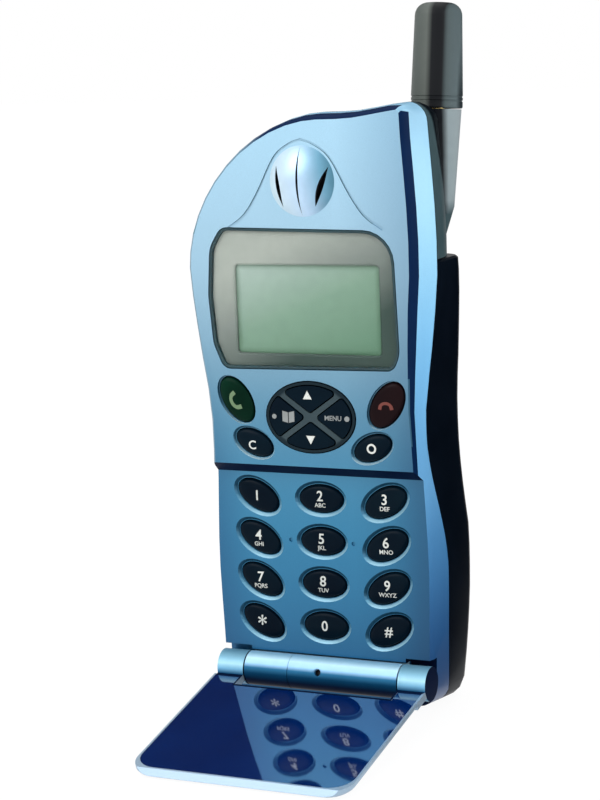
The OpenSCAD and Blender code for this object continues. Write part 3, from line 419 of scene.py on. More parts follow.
# Barrel and the flip's knuckles, with painted highlight bands and painted shade going up
barrel_blue = slanted("barrel_painted_light", UPWARD,
                      [(0.0, (0.0, 0.002, 0.012)), (0.28, (0.0, 0.008, 0.035)),
                       (0.5, (0.004, 0.05, 0.12)), (0.66, (0.03, 0.17, 0.33)), (0.78, (0.4, 0.7, 1.0)),
                       (0.9, (0.55, 0.85, 1.0)), (1.0, (0.22, 0.42, 0.58))],
                      4.0, 10.9, rough=(0.3, 0.4), metallic=0.05, specular=0.02)
knuckle_blue = slanted("knuckle_painted_light", UPWARD,
                       [(0.0, (0.2, 0.4, 0.55)), (0.16, (0.1, 0.28, 0.44)), (0.4, (0.01, 0.1, 0.24)),
                        (0.56, (0.2, 0.5, 0.74)), (0.7, (0.42, 0.74, 0.88)),
                        (0.84, (0.24, 0.5, 0.66)), (1.0, (0.1, 0.24, 0.34))],
                       4.0, 10.9, rough=(0.3, 0.4), metallic=0.05, specular=0.05)

# Back, battery and antenna; the antenna's painted reflections go right, and its column's painted reflection
# and highlight go right and back, with painted shade towards its foot
rear_grey = shoulder_paint()
battery_black = moulded("battery_black_plastic", (0.001, 0.003, 0.007), (0.003, 0.006, 0.012),
                        (0.3, 0.4), specular=0.03)
# Painted reflections across the antenna: lighter at both sides, black in the middle
antenna_rubber = slanted("antenna_rubber", (1, 0, -0.026),
                         [(0.0, (0.07, 0.085, 0.08)), (0.45, (0.1, 0.115, 0.105)),
                          (0.56, (0.001, 0.002, 0.004)), (0.76, (0.001, 0.002, 0.004)),
                          (0.83, (0.06, 0.085, 0.09)), (0.97, (0.1, 0.135, 0.145)),
                          (1.0, (0.02, 0.03, 0.035))], 12.5, 22.7, rough=(0.42, 0.52))
column_grey = slanted("antenna_column_painted_light", (0.5, 0.85, 0),
                      [(0.0, (0.001, 0.002, 0.005)), (0.26, (0.001, 0.003, 0.006)),
                       (0.4, (0.26, 0.32, 0.34)), (1.0, (0.3, 0.35, 0.37))], 19.9, 28.9,
                      rim=((20, 128.5), (100, 30), 6, (0.15, 0.22, 0.24)), rough=(0.3, 0.4),
                      specular=0.1)

# Keys and their print
nav_grey = disc_paint()
key_black = moulded("key_black_plastic", (0.0003, 0.004, 0.01), (0.001, 0.008, 0.015), (0.25, 0.33),
                    specular=0.05)
key_green = moulded("key_green_plastic", (0.0, 0.012, 0.006), (0.001, 0.026, 0.013), (0.25, 0.33),
                    specular=0.05)
key_red = moulded("key_red_plastic", (0.007, 0.003, 0.004), (0.013, 0.005, 0.006), (0.25, 0.33),
                  specular=0.05)
legend_pale = moulded("legend_print_pale", (0.55, 0.58, 0.55), (0.68, 0.7, 0.66), (0.4, 0.5), bump=0.02)
legend_dim = moulded("legend_print_dim", (0.2, 0.22, 0.22), (0.28, 0.3, 0.3), (0.4, 0.5), bump=0.02)
legend_green = moulded("legend_print_green", (0.12, 0.2, 0.1), (0.16, 0.26, 0.13), (0.4, 0.5), bump=0.02)
legend_red = moulded("legend_print_red", (0.13, 0.02, 0.012), (0.17, 0.03, 0.018), (0.4, 0.5), bump=0.02)

# Metals, rubber and plain plastics, most of them inside
steel = moulded("pressed_steel", (0.5, 0.5, 0.51), (0.62, 0.62, 0.63), (0.3, 0.42), metallic=0.9)
gold = moulded("gold_plate", (0.62, 0.45, 0.16), (0.72, 0.54, 0.22), (0.25, 0.35), metallic=0.95)
copper = moulded("copper_wire", (0.6, 0.28, 0.12), (0.72, 0.36, 0.17), (0.25, 0.35), metallic=0.95)
board_green = moulded("board_green", (0.01, 0.09, 0.04), (0.02, 0.13, 0.06), (0.4, 0.5))
silicone = moulded("grey_silicone", (0.45, 0.47, 0.48), (0.55, 0.57, 0.58), (0.5, 0.6))
plain_black = moulded("black_plastic", (0.008, 0.008, 0.01), (0.016, 0.016, 0.018), (0.4, 0.5))
white_plastic = moulded("white_plastic", (0.72, 0.72, 0.68), (0.8, 0.79, 0.75), (0.4, 0.5))
rubber_black = moulded("black_rubber", (0.01, 0.01, 0.011), (0.02, 0.02, 0.022), (0.6, 0.7))

# The keys that aren't named here are black
NODES_BY_FINISH = [
    (face_blue, ["front_shell", "hinge_barrel", "hinge_cap"]),
    (flip_silver, ["flip_shell"]),
    (flip_navy, ["flip_panel"]),
    (window_clear, ["window_lens"]),
    (border_grey, ["window_mask"]),
    (lcd_green, ["lcd_glass"]),
    (dome_blue, ["earpiece_grille"]),
    (nav_grey, ["nav_bezel"]),
    (key_green, ["key_send"]),
    (key_red, ["key_end"]),
    (rear_grey, ["rear_shell"]),
    (battery_black, ["battery_case", "battery_latch"]),
    (antenna_rubber, ["antenna_sheath"]),
    (copper, ["antenna_coil"]),
    (board_green, ["main_board"]),
    (silicone, ["keypad_mat"]),
    (rubber_black, ["microphone_boot"]),
    (white_plastic, ["light_guide", "sim_card", "antenna_core"]),
    (gold, ["dome_sheet", "battery_contacts", "battery_terminals", "antenna_ferrule"]),
    (plain_black, ["earpiece_speaker", "sim_holder", "buzzer", "system_connector", "battery_cover",
                   "microphone"]),
    (steel, ["lcd_frame", "shield_cans", "vibrator_motor", "vibrator_weight", "case_screws",
             "battery_cell", "latch_spring", "hinge_spring", "hinge_pins"]),
]
finish_of = {node: finish for finish, nodes in NODES_BY_FINISH for node in nodes}
for name, solid in frame["nodes"].items():
    paint(solid, finish_of.get(name, key_black))


# ---- Ways of making ----

# Print: its thickness, how far it stands out of a key, and half the lettering's thickness
PRINT_THICK, PRINT_PROUD, PRINT_HALF = 0.04, 0.03, 0.02


def in_mode(mode):
    """Blender changes to its edit mode or to its object mode."""
    bpy.ops.object.mode_set(mode=mode)


def only(piece):
    """The piece is the one that is selected and active."""
    bpy.ops.object.select_all(action="DESELECT")
    piece.select_set(True)
    bpy.context.view_layer.objects.active = piece


def all_in_edit_mode(piece):
    """The piece is opened in edit mode with all of it selected."""
    only(piece)
    in_mode("EDIT")
    bpy.ops.mesh.select_all(action="SELECT")


def finish_piece(piece, node, *replaced):
    """The piece stands on the table, rides on its node's body and replaces that node."""
    piece.data.transform(STAND)
    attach(piece, body_of[node])
    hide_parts(node, *replaced)


def ellipse(centre, half_long, half_wide, tilt, count=32):
    """Points round an ellipse in X and Z, tilted by so many degrees."""
    turn = math.radians(tilt)
    points = []
    for i in range(count):
        t = 2 * math.pi * i / count
        u, v = half_long * math.cos(t), half_wide * math.sin(t)
        points.append((centre[0] + u * math.cos(turn) - v * math.sin(turn),
                       centre[1] + u * math.sin(turn) + v * math.cos(turn)))
    return points


def rounded(corners, radii, count=6):
    """Corner points of a polygon in X and Z, each rounded to its own radius."""
    points = []
    for i, corner in enumerate(corners):
        here = Vector(corner)
        to_last = (Vector(corners[i - 1]) - here).normalized()
        to_next = (Vector(corners[(i + 1) % len(corners)]) - here).normalized()
        half = math.acos(max(-1, min(1, to_last.dot(to_next)))) / 2
        centre = here + (to_last + to_next).normalized() * radii[i] / math.sin(half)
        start = here + to_last * radii[i] / math.tan(half) - centre
        end = here + to_next * radii[i] / math.tan(half) - centre
        first = math.atan2(start.y, start.x)
        turn = (math.atan2(end.y, end.x) - first + math.pi) % (2 * math.pi) - math.pi
        for k in range(count + 1):
            angle = first + turn * k / count
            points.append((centre.x + radii[i] * math.cos(angle), centre.y + radii[i] * math.sin(angle)))
    return points


def inset(points, distance):
    """The outline moved inwards."""
    moved = []
    for i, point in enumerate(points):
        along = Vector(points[(i + 1) % len(points)]) - Vector(points[i - 1])
        moved.append((point[0] - distance * along.y / along.length,
                      point[1] + distance * along.x / along.length))
    return moved


def at_depth(points, y):
    """Points in X and Z, set at a depth."""
    return [(x, y, z) for x, z in points]


def ring_of_verts(name, ring):
    """A circle of vertices laid on the ring's points."""
    bpy.ops.object.select_all(action="DESELECT")
    bpy.ops.mesh.primitive_circle_add(vertices=len(ring), radius=1.0)
    piece = bpy.context.object
    piece.name = name
    for vert, place in zip(piece.data.vertices, ring):
        vert.co = place
    return piece


def extrude_to(piece, last, ring):
    """The open edge is extruded from one ring to the next."""
    in_mode("EDIT")
    bpy.ops.mesh.extrude_region()
    in_mode("OBJECT")
    for vert in piece.data.vertices:
        if vert.select:
            nearest = min(range(len(last)), key=lambda i: (vert.co - Vector(last[i])).length_squared)
            vert.co = ring[nearest]


def skin(name, rings, closed=True, smooth=35):
    """A skin over a stack of rings of points, closed at both ends unless it is left open."""
    piece = ring_of_verts(name, rings[0])
    for last, ring in zip(rings, rings[1:]):
        extrude_to(piece, last, ring)
    in_mode("EDIT")
    bpy.ops.mesh.select_all(action="SELECT")
    if closed:
        bpy.ops.mesh.fill_holes(sides=0)
        bpy.ops.mesh.normals_make_consistent(inside=False)
    in_mode("OBJECT")
    only(piece)
    bpy.ops.object.shade_smooth_by_angle(angle=math.radians(smooth))
    return piece


def flat_shape(name, points, y):
    """A thin printed shape in the plane of the face."""
    return skin(name, [at_depth(points, y), at_depth(points, y - PRINT_THICK)], smooth=20)


def lettering(name, words, size, centre, y, bold):
    """Printed words that face the user, as a thin mesh."""
    bpy.ops.object.select_all(action="DESELECT")
    bpy.ops.object.text_add()
    text = bpy.context.object
    text.name = name
    text.data.body = words
    text.data.size = size
    text.data.align_x = "CENTER"
    text.data.align_y = "CENTER"
    text.data.extrude = PRINT_HALF
    text.data.offset = bold
    text.data.resolution_u = 4
    bpy.ops.object.convert(target="MESH")
    piece = bpy.context.object
    upright = Matrix.Rotation(math.radians(90), 4, "X")
    piece.data.transform(Matrix.Translation((centre[0], y, centre[1])) @ upright)
    return piece


def join_all(main, others):
    """The others become part of the main piece."""
    only(main)
    for other in others:
        other.select_set(True)
    bpy.ops.object.join()
    return main


def face_outwards(piece):
    """All the piece's faces are turned the same way, outwards."""
    all_in_edit_mode(piece)
    bpy.ops.mesh.normals_make_consistent(inside=False)
    in_mode("OBJECT")


def smooth_copy(node, finish, angle=32):
    """A copy of a CAD solid, welded and shaded smooth, back upright in millimetres."""
    piece = bpy.data.objects.new(node + "_skin", frame["nodes"][node].data.copy())
    bpy.context.scene.collection.objects.link(piece)
    piece.data.transform(STAND.inverted())
    only(piece)
    if piece.data.has_custom_normals:
        bpy.ops.mesh.customdata_custom_splitnormals_clear()
    all_in_edit_mode(piece)
    bpy.ops.mesh.remove_doubles(threshold=0.002)
    in_mode("OBJECT")
    bpy.ops.object.shade_smooth_by_angle(angle=math.radians(angle))
    paint(piece, finish)
    return piece


# ---- The body's outline ----

EAR_W, WAIST_W, LOW_W, BODY_H, EAR_Z = 52.4, 45.4, 46.8, 121.2, 89.5
TOP_RISE = 1.5
# Left of ARCH_X the top falls away in an arch; right of it, it rises over RISE_W
ARCH_X, RISE_X, RISE_W, ARCH_POWER = 3.5, 8, 14, 1.075
SIDE_TABLE = [(0, LOW_W / 2 - 0.8), (15, LOW_W / 2 - 0.4), (30, LOW_W / 2), (42, (LOW_W + WAIST_W) / 4),
              (52, WAIST_W / 2), (62, WAIST_W / 2 + 0.2), (73, (WAIST_W + EAR_W) / 4), (84, EAR_W / 2 - 0.4),
              (EAR_Z, EAR_W / 2), (100, EAR_W / 2 - 0.1), (118, EAR_W / 2 - 1.2)]


def side_x(z):
    """Half width of the body at a height."""
    for (low_z, low_w), (high_z, high_w) in zip(SIDE_TABLE, SIDE_TABLE[1:]):
        if z <= high_z:
            share = min(max((z - low_z) / (high_z - low_z), 0), 1)
            return low_w + (high_w - low_w) * share
    return SIDE_TABLE[-1][1]


def top_z(x):
    """Height of the top edge at a place across the body."""
    if x > ARCH_X:
        share = min(max((x - RISE_X) / RISE_W, 0), 1)
        return BODY_H - TOP_RISE + TOP_RISE * share * share * (3 - 2 * share)
    share = min((ARCH_X - x) / (EAR_W / 2 + ARCH_X), 1) ** (1 / ARCH_POWER)
    return EAR_Z + (BODY_H - TOP_RISE - EAR_Z) * math.sqrt(max(1 - share * share, 0)) ** ARCH_POWER


# ---- Front shell: display face, keypad deck and side bands ----

# How far in from the body's outline its rolled edges reach
RIGHT_EDGE, TOP_EDGE, LEFT_EDGE = 5.2, 2.2, 1.6
# Depths at which the face ends, the painted dark reflection on the right edge ends and the rolled left and
# top edges end
FACE_END_Y, NAVY_END_Y, ROLL_END_Y = -2.79, -1.55, -0.1
NAVY_TOP_Z = 118.6
TOP_LINE_LEFT_X, TOP_LINE_RIGHT_X = -21, 20
# The step between the deck and the face, and the deck's lower end behind the barrel
STEP_LOW_Z, STEP_HIGH_Z, STEP_END_Y = 47.9, 50.5, -0.01
DECK_END_Z, DECK_CORNER_X, FOOT_Y = 12.3, 16.9, 3
# The dishes: how far up and across they reach, and their depths below the surface
DECK_DISH_Z, DECK_DISH_X, FACE_DISH_Z, FACE_DISH_X = 47.8, 20.9, 69, 21.2
DISH_TOP, DISH_FLOOR = 0.02, 0.54
# The groove round the earpiece; the gap keeps the window's upper rim out of it
GROOVE_END_Y, GROOVE_LOW_Z, GROOVE_GAP_Z = -2.4, 88, 98.5
GROOVE_GAP_LEFT_X, GROOVE_GAP_RIGHT_X = -22, 20
# A face's slope, from its normal: flat fronts, dishes, sides and slopes that face back by Y, and
# the step and undersides by Z
FLAT_Y, DISH_FLAT_Y, DISH_STEEP_Y, SIDE_Y, BACK_Y = -0.995, -0.97, -0.2, 0.9, 0.5
STEP_SLOPE_Z, UNDER_SLOPE_Z = -0.3, -0.5

SHELL_FINISHES = [face_blue, navy_reflection, side_blue, groove_teal, edge_grey, navy_shade,
                  deck_dish_blue, face_dish_blue, top_line]


def shell_finish(face):
    """The finish of a face of the front shell, by its place and slope; several finishes are painted light
    and shade.
    """
    x, y, z = face.center
    normal = face.normal
    near_right = x > side_x(z) - RIGHT_EDGE
    near_top = z > top_z(x) - TOP_EDGE
    near_left = x < -side_x(z) + LEFT_EDGE
    sloping = FLAT_Y < normal.y < BACK_Y
    if DISH_FLAT_Y < normal.y < DISH_STEEP_Y:
        if DECK_END_Z < z < DECK_DISH_Z and abs(x) < DECK_DISH_X and DISH_TOP < y < DISH_FLOOR:
            return deck_dish_blue
        in_face = FACE_Y + DISH_TOP < y < FACE_Y + DISH_FLOOR
        if STEP_HIGH_Z < z < FACE_DISH_Z and abs(x) < FACE_DISH_X and in_face:
            return face_dish_blue
    # The step and the undersides by the barrel get painted shade
    if STEP_LOW_Z < z < STEP_HIGH_Z and FACE_END_Y < y < STEP_END_Y and normal.z < STEP_SLOPE_Z:
        return navy_shade
    if z < DECK_END_Z and y < FOOT_Y and (x > DECK_CORNER_X or normal.z < UNDER_SLOPE_Z):
        return navy_shade
    # The slope of the right edge gets a painted dark reflection
    if FACE_END_Y < y < NAVY_END_Y and sloping and near_right and z < NAVY_TOP_Z:
        return navy_reflection
    # The top edge's slope gets a painted dark reflection that fades out to the left
    if FACE_END_Y < y < ROLL_END_Y and sloping and near_top and x > TOP_LINE_LEFT_X:
        return top_line if x < TOP_LINE_RIGHT_X else side_blue
    # The side bands carry a painted highlight and painted shade
    if y > NAVY_END_Y and (near_right or near_top or near_left) and abs(normal.y) < SIDE_Y:
        return side_blue
    if FACE_END_Y < y < ROLL_END_Y and sloping and (near_top or near_left):
        return edge_grey
    in_gap = GROOVE_GAP_LEFT_X < x < GROOVE_GAP_RIGHT_X and z < GROOVE_GAP_Z
    if FACE_END_Y < y < GROOVE_END_Y and sloping and z > GROOVE_LOW_Z and not in_gap:
        return groove_teal
    return face_blue


shell = smooth_copy("front_shell", face_blue, 30)
paint_faces(shell, SHELL_FINISHES, shell_finish)
finish_piece(shell, "front_shell")


# ---- Window, its printed border and the display ----

WINDOW = rounded([(-18.8, 69.5), (17.9, 69.9), (19.3, 73), (18.6, 96.9), (-18.3, 97.6), (-20.9, 93.5),
                  (-21.6, 84), (-20.9, 74.5)], [2.2, 2, 6, 6.5, 2.5, 6, 10, 6])
LCD_X, LCD_Z, LCD_W, LCD_H, LCD_CORNER = -0.4, 81.4, 31.2, 17.6, 0.9
# Depths of the border's print, of its lip's end, of the opening's end and of the display
BORDER_Y, LIP_END_Y, OPENING_END_Y, LCD_Y = -1.95, -1.75, -1.3, -1.28


def display_ring(grow, radius, y):
    """Outline round the display with as many points as the window's, from its lower left."""
    half_w, half_h = LCD_W / 2 + grow, LCD_H / 2 + grow
    corners = [(LCD_X - half_w, LCD_Z - half_h), (LCD_X + half_w, LCD_Z - half_h),
               (LCD_X + half_w, LCD_Z + half_h), (LCD_X - half_w, LCD_Z + half_h)]
    return at_depth(rounded(corners, [radius] * 4, 13), y)


# A thin dark frame stands round the window's edge, painted as the shade in the window's recess
frame_rings = [at_depth(inset(WINDOW, distance), y) for distance, y in
               [(0.02, -1.6), (0.02, -2.62), (0.12, -2.74), (0.55, -2.7), (0.62, -2.0), (0.62, -1.6)]]
dark_line = skin("window_dark_line", frame_rings, closed=False)
paint(dark_line, recess_shade)
face_outwards(dark_line)

# The printed border runs from the window's edge to the display's, and down round the display
border_edge = at_depth(inset(WINDOW, 0.3), BORDER_Y)
border_line = at_depth(inset(WINDOW, 0.6), BORDER_Y)
display_lip = display_ring(0.35, 1.3, BORDER_Y)
display_edge = display_ring(0, LCD_CORNER, LIP_END_Y)
border = ring_of_verts("window_border", border_edge)
extrude_to(border, border_edge, border_line)
paint(border, border_grey)
opening = ring_of_verts("display_edge", display_lip)
extrude_to(opening, display_lip, display_edge)
extrude_to(opening, display_edge, display_ring(0, LCD_CORNER, OPENING_END_Y))
paint(opening, border_grey)
border = join_all(border, [opening])
in_mode("EDIT")
bpy.ops.mesh.select_all(action="DESELECT")
in_mode("OBJECT")


def lies_on(edge, loop):
    """Whether both ends of the border's edge are points of the loop."""
    ends = [border.data.vertices[v].co for v in edge.vertices]
    return all(min((end - Vector(point)).length for point in loop) < 0.001 for end in ends)


for edge in border.data.edges:
    edge.select = lies_on(edge, border_line) or lies_on(edge, display_lip)
for vert in border.data.vertices:
    vert.select = False
in_mode("EDIT")
bpy.ops.mesh.select_mode(type="EDGE")
bpy.ops.mesh.bridge_edge_loops()
bpy.ops.mesh.select_mode(type="VERT")
in_mode("OBJECT")
face_outwards(border)
# The print faces the user
if sum(face.normal.y * face.area for face in border.data.polygons) > 0:
    border.data.flip_normals()
finish_piece(border, "window_mask")
dark_line.data.transform(STAND)
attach(dark_line, "handset")

lcd = skin("display_glass", [display_ring(grow, LCD_CORNER + grow, y) for grow, y in
                             [(0.8, 0.3), (0.8, -1.1), (0.6, LCD_Y), (-2, LCD_Y), (-6, LCD_Y)]])
paint(lcd, lcd_green)
finish_piece(lcd, "lcd_glass")

finish_piece(smooth_copy("window_lens", window_clear), "window_lens")


# ---- Earpiece dome ----

DOME_Z, DOME_INNER_R, SLOT_WALL_Y = 106.6, 6.6, -0.25


def dome_finish(face):
    """Inside the dome's rim, the walls of its slots are painted black as shade."""
    inwards = math.hypot(face.center.x, face.center.z - DOME_Z) < DOME_INNER_R
    in_slot = face.normal.y > SLOT_WALL_Y and inwards
    return plain_black if in_slot else dome_blue


dome = smooth_copy("earpiece_grille", dome_blue, 50)
paint_faces(dome, [dome_blue, plain_black], dome_finish)
finish_piece(dome, "earpiece_grille")


# ---- Keys ----

KEY_L, KEY_W, KEY_TILT, PITCH_X, PITCH_Z, ROW_Z = 9.5, 5.5, 28, 14, 8.7, 43.2
PROUD, WALL, GAP, FLANGE, FLANGE_OUT = 0.35, 1.5, 0.1, 0.5, 0.45
# How far the crown rises, and how far in from the key's side it starts
CROWN, CROWN_IN = 0.3, 0.45
CROWN_SHARES = (1, 0.85, 0.7, 0.5, 0.3, 0.12)
# The rounding of a key's edge: how much it grows, and how far it is behind the front
EDGE_ROUNDING = [(0, 0.85), (-0.06, 0.6), (-0.2, 0.44)]


def key_solid(name, centre, half_long, half_wide, tilt, surface, finish):
    """A crowned oval key with its skirt and flange."""
    front = surface - PROUD
    skirt = surface + WALL + GAP

    def ring(grow, y):
        return at_depth(ellipse(centre, half_long + grow, half_wide + grow, tilt), y)

    def crown(share):
        oval = ellipse(centre, (half_long - CROWN_IN) * share, (half_wide - CROWN_IN) * share, tilt)
        return at_depth(oval, front + CROWN * share * share)

    rings = [ring(FLANGE_OUT, skirt + FLANGE), ring(FLANGE_OUT, skirt), ring(0, skirt - 0.01)]
    rings += [ring(grow, front + behind) for grow, behind in EDGE_ROUNDING]
    rings += [crown(share) for share in CROWN_SHARES]
    key = skin(name, rings, smooth=60)
    paint(key, finish)
    return key


def crown_depth(x, z, centre, half_long, half_wide, tilt, surface):
    """Depth of a key's crown at a place on it."""
    turn = math.radians(tilt)
    dx, dz = x - centre[0], z - centre[1]
    u = (dx * math.cos(turn) + dz * math.sin(turn)) / (half_long - CROWN_IN)
    v = (-dx * math.sin(turn) + dz * math.cos(turn)) / (half_wide - CROWN_IN)
    return surface - PROUD + CROWN * (u * u + v * v)


def print_on_key(key, legends, shape, finish):
    """Legends are laid on the key's crown and made part of it."""
    for legend in legends:
        paint(legend, finish)
        all_in_edit_mode(legend)
        bpy.ops.mesh.quads_convert_to_tris()
        bpy.ops.mesh.subdivide(number_cuts=2)
        in_mode("OBJECT")
        middle = sum(v.co.y for v in legend.data.vertices) / len(legend.data.vertices)
        for vert in legend.data.vertices:
            lift = vert.co.y - middle
            vert.co.y = crown_depth(vert.co.x, vert.co.z, *shape) + lift - PRINT_PROUD
    return join_all(key, legends)


def handset_shape(name, centre, size, turn, y):
    """The usual telephone receiver: a bowed grip with an ear and a mouth end."""
    points = []
    for degrees in range(-55, 56, 11):
        a = math.radians(degrees)
        points.append((1.25 * math.sin(a), 1.25 * math.cos(a) - 0.55))
    points += [(1.16, -0.35), (0.66, -0.45), (0.56, -0.02)]
    for degrees in range(35, -36, -14):
        a = math.radians(degrees)
        points.append((0.85 * math.sin(a), 0.78 * math.cos(a) - 0.5))
    points += [(-0.56, -0.02), (-0.66, -0.45), (-1.16, -0.35)]
    c, s = math.cos(math.radians(turn)), math.sin(math.radians(turn))
    placed = [(centre[0] + size * (px * c - pz * s), centre[1] + size * (px * s + pz * c))
              for px, pz in points]
    return flat_shape(name, placed, y)


LETTERS = {"2": "ABC", "3": "DEF", "4": "GHI", "5": "JKL", "6": "MNO", "7": "PQRS", "8": "TUV", "9": "WXYZ"}
KEY_ROWS = [["1", "2", "3"], ["4", "5", "6"], ["7", "8", "9"], ["star", "0", "hash"]]
DIGIT_SIZE, DIGIT_LIFT, DIGIT_BOLD = 2.9, 0.55, 0.035
LETTER_SIZE, LETTER_DROP, LETTER_BOLD = 1.25, 1.25, 0.012
# The star's and the hash's sign, size and lift
SIGNS = {"star": ("*", 4.6, -0.6), "hash": ("#", DIGIT_SIZE, 0)}
for row, names in enumerate(KEY_ROWS):
    for column, digit in enumerate(names):
        x, z = PITCH_X * (column - 1), ROW_Z - PITCH_Z * row
        shape = ((x, z), KEY_L / 2, KEY_W / 2, KEY_TILT * (column - 1), 0)
        key = key_solid("number_key_" + digit, *shape, key_black)
        plain = (digit, DIGIT_SIZE, DIGIT_LIFT if digit in LETTERS else 0)
        sign, size, lift = SIGNS.get(digit, plain)
        legends = [lettering("digit_" + digit, sign, size, (x, z + lift), 0, DIGIT_BOLD)]
        if digit in LETTERS:
            legends.append(lettering("letters_" + digit, LETTERS[digit], LETTER_SIZE,
                                     (x, z - LETTER_DROP), 0, LETTER_BOLD))
        print_on_key(key, legends, shape, legend_pale)
        finish_piece(key, "key_" + digit)

CALL_L, CALL_W, CALL_TILT = 5.0, 3.0, 56
SMALL_L, SMALL_W, SMALL_TILT = 4.15, 2.4, 23

send_shape = ((-16.4, 63.2), CALL_L, CALL_W, -CALL_TILT, FACE_Y)
send = key_solid("send_key", *send_shape, key_green)
send_mark = handset_shape("send_mark", (-16.5, 63.0), 1.75, 118, 0)
print_on_key(send, [send_mark], send_shape, legend_green)
finish_piece(send, "key_send")

end_shape = ((16.2, 63.1), CALL_L, CALL_W, CALL_TILT, FACE_Y)
end = key_solid("end_key", *end_shape, key_red)
end_mark = handset_shape("end_mark", (16.2, 62.9), 1.4, 0, 0)
print_on_key(end, [end_mark], end_shape, legend_red)
finish_piece(end, "key_end")

clear_shape = ((-12.9, 54.6), SMALL_L, SMALL_W, -SMALL_TILT, FACE_Y)
clear = key_solid("clear_key", *clear_shape, key_black)
clear_mark = lettering("clear_mark", "C", 2.5, (-13.1, 54.1), 0, 0.03)
print_on_key(clear, [clear_mark], clear_shape, legend_pale)
finish_piece(clear, "key_clear")

POWER_PLACE = (12.9, 54.5)
power_shape = (POWER_PLACE, SMALL_L, SMALL_W, SMALL_TILT, FACE_Y)
power = key_solid("power_key", *power_shape, key_black)
power_mark = skin("power_mark", [at_depth(ellipse(POWER_PLACE, r, r, 0, 24), y) for r, y in
                                 [(1.0, 0), (1.0, -PRINT_THICK), (0.62, -PRINT_THICK), (0.62, 0)]],
                  closed=False)
print_on_key(power, [power_mark], power_shape, legend_pale)
finish_piece(power, "key_power")


# ---- Navigation disc ----

finish_piece(smooth_copy("nav_bezel", nav_grey, 40), "nav_bezel")


def nav_piece(node, finish, marks):
    """A quarter of the disc, with its printed marks made part of it."""
    key = smooth_copy(node, key_black, 40)
    front = min(v.co.y for v in key.data.vertices)
    for mark in marks(front - PRINT_PROUD):
        paint(mark, finish)
        key = join_all(key, [mark])
    finish_piece(key, node)


def triangle(name, centre, width, height, y):
    """A printed arrowhead; with a height below zero it points down."""
    x, z = centre
    foot = z - height / 2
    return flat_shape(name, [(x - width / 2, foot), (x + width / 2, foot), (x, z + height / 2)], y)


def dot(name, x, radius, y):
    """A printed dot at the disc's height."""
    return flat_shape(name, ellipse((x, NAV_Z), radius, radius, 0, 12), y)


nav_piece("nav_up", legend_pale, lambda y: [triangle("up_mark", (-0.5, 64.7), 1.9, 1.7, y)])
nav_piece("nav_down", legend_pale, lambda y: [triangle("down_mark", (-0.1, 55.7), 1.9, -1.7, y)])
nav_piece("nav_right", legend_dim, lambda y: [
    lettering("menu_word", "MENU", 1.35, (4.9, NAV_Z), y, 0.02),
    dot("menu_dot", 7.9, 0.55, y)])
nav_piece("nav_left", legend_dim, lambda y: [
    flat_shape("book_left", [(-6.1, 59.3), (-4.9, 59.0), (-4.9, 61.1), (-6.1, 61.4)], y),
    flat_shape("book_right", [(-4.7, 59.0), (-3.5, 59.3), (-3.5, 61.4), (-4.7, 61.1)], y),
    dot("book_dot", -7.9, 0.5, y)])


# ---- Hinge barrel, flip, back, battery and antenna ----

for node, finish in (("hinge_barrel", barrel_blue), ("hinge_cap", barrel_blue), ("flip_panel", flip_navy),
                     ("battery_case", battery_black), ("battery_latch", battery_black),
                     ("antenna_sheath", antenna_rubber)):
    finish_piece(smooth_copy(node, finish), node)

# Reach of the knuckles and of the bay between them, and the slopes of their ends, back and floor
KNUCKLE_R, KNUCKLE_X, KNUCKLE_END = 3.6, 24, 0.7
BAY_Y, BAY_X, BAY_BACK, BAY_FLOOR = -9.5, 22.4, 0.6, 0.3


def flip_finish(face):
    """The flip's knuckles carry a painted highlight band, and their ends and the bay between them get
    painted navy shade.
    """
    x, y, z = face.center
    normal = face.normal
    if math.hypot(y - HINGE_Y, z - HINGE_Z) < KNUCKLE_R and abs(x) < KNUCKLE_X:
        return knuckle_blue if abs(normal.x) < KNUCKLE_END else navy_shade
    if y > BAY_Y and abs(x) < BAY_X and (abs(normal.y) > BAY_BACK or normal.z > BAY_FLOOR):
        return navy_shade
    return flip_silver


flip = smooth_copy("flip_shell", flip_silver)
paint_faces(flip, [flip_silver, knuckle_blue, navy_shade], flip_finish)
finish_piece(flip, "flip_shell")

ANTENNA_FOOT = Vector((20.7, 16.5, 119.3))
ANTENNA_ASIDE, ANTENNA_BACK = math.radians(1.5), math.radians(-4)
COLUMN_R, COLUMN_FRONT_Y, COLUMN_LOW_Z = 5.0, 10, 98.5
antenna_way = Matrix.Rotation(ANTENNA_ASIDE, 3, "Y") @ Vector(UPWARD)
antenna_way = Matrix.Rotation(ANTENNA_BACK, 3, "X") @ antenna_way


def rear_finish(face):
    """The column under the antenna has a paint of its own, with painted reflection, highlight and shade."""
    reach = face.center - ANTENNA_FOOT
    aside = (reach - antenna_way * reach.dot(antenna_way)).length
    on_column = aside < COLUMN_R and face.center.y > COLUMN_FRONT_Y and face.center.z > COLUMN_LOW_Z
    return column_grey if on_column else rear_grey


rear = smooth_copy("rear_shell", rear_grey)
paint_faces(rear, [rear_grey, column_grey], rear_finish)
finish_piece(rear, "rear_shell")


# ---- Camera ----

# Turned, raised and rolled from straight ahead of the upright handset
AZIMUTH, ELEVATION, ROLL = math.radians(26.0), math.radians(9.18), math.radians(2.32)
CAMERA_PLACE = (189.19, -395.39, 134.18)
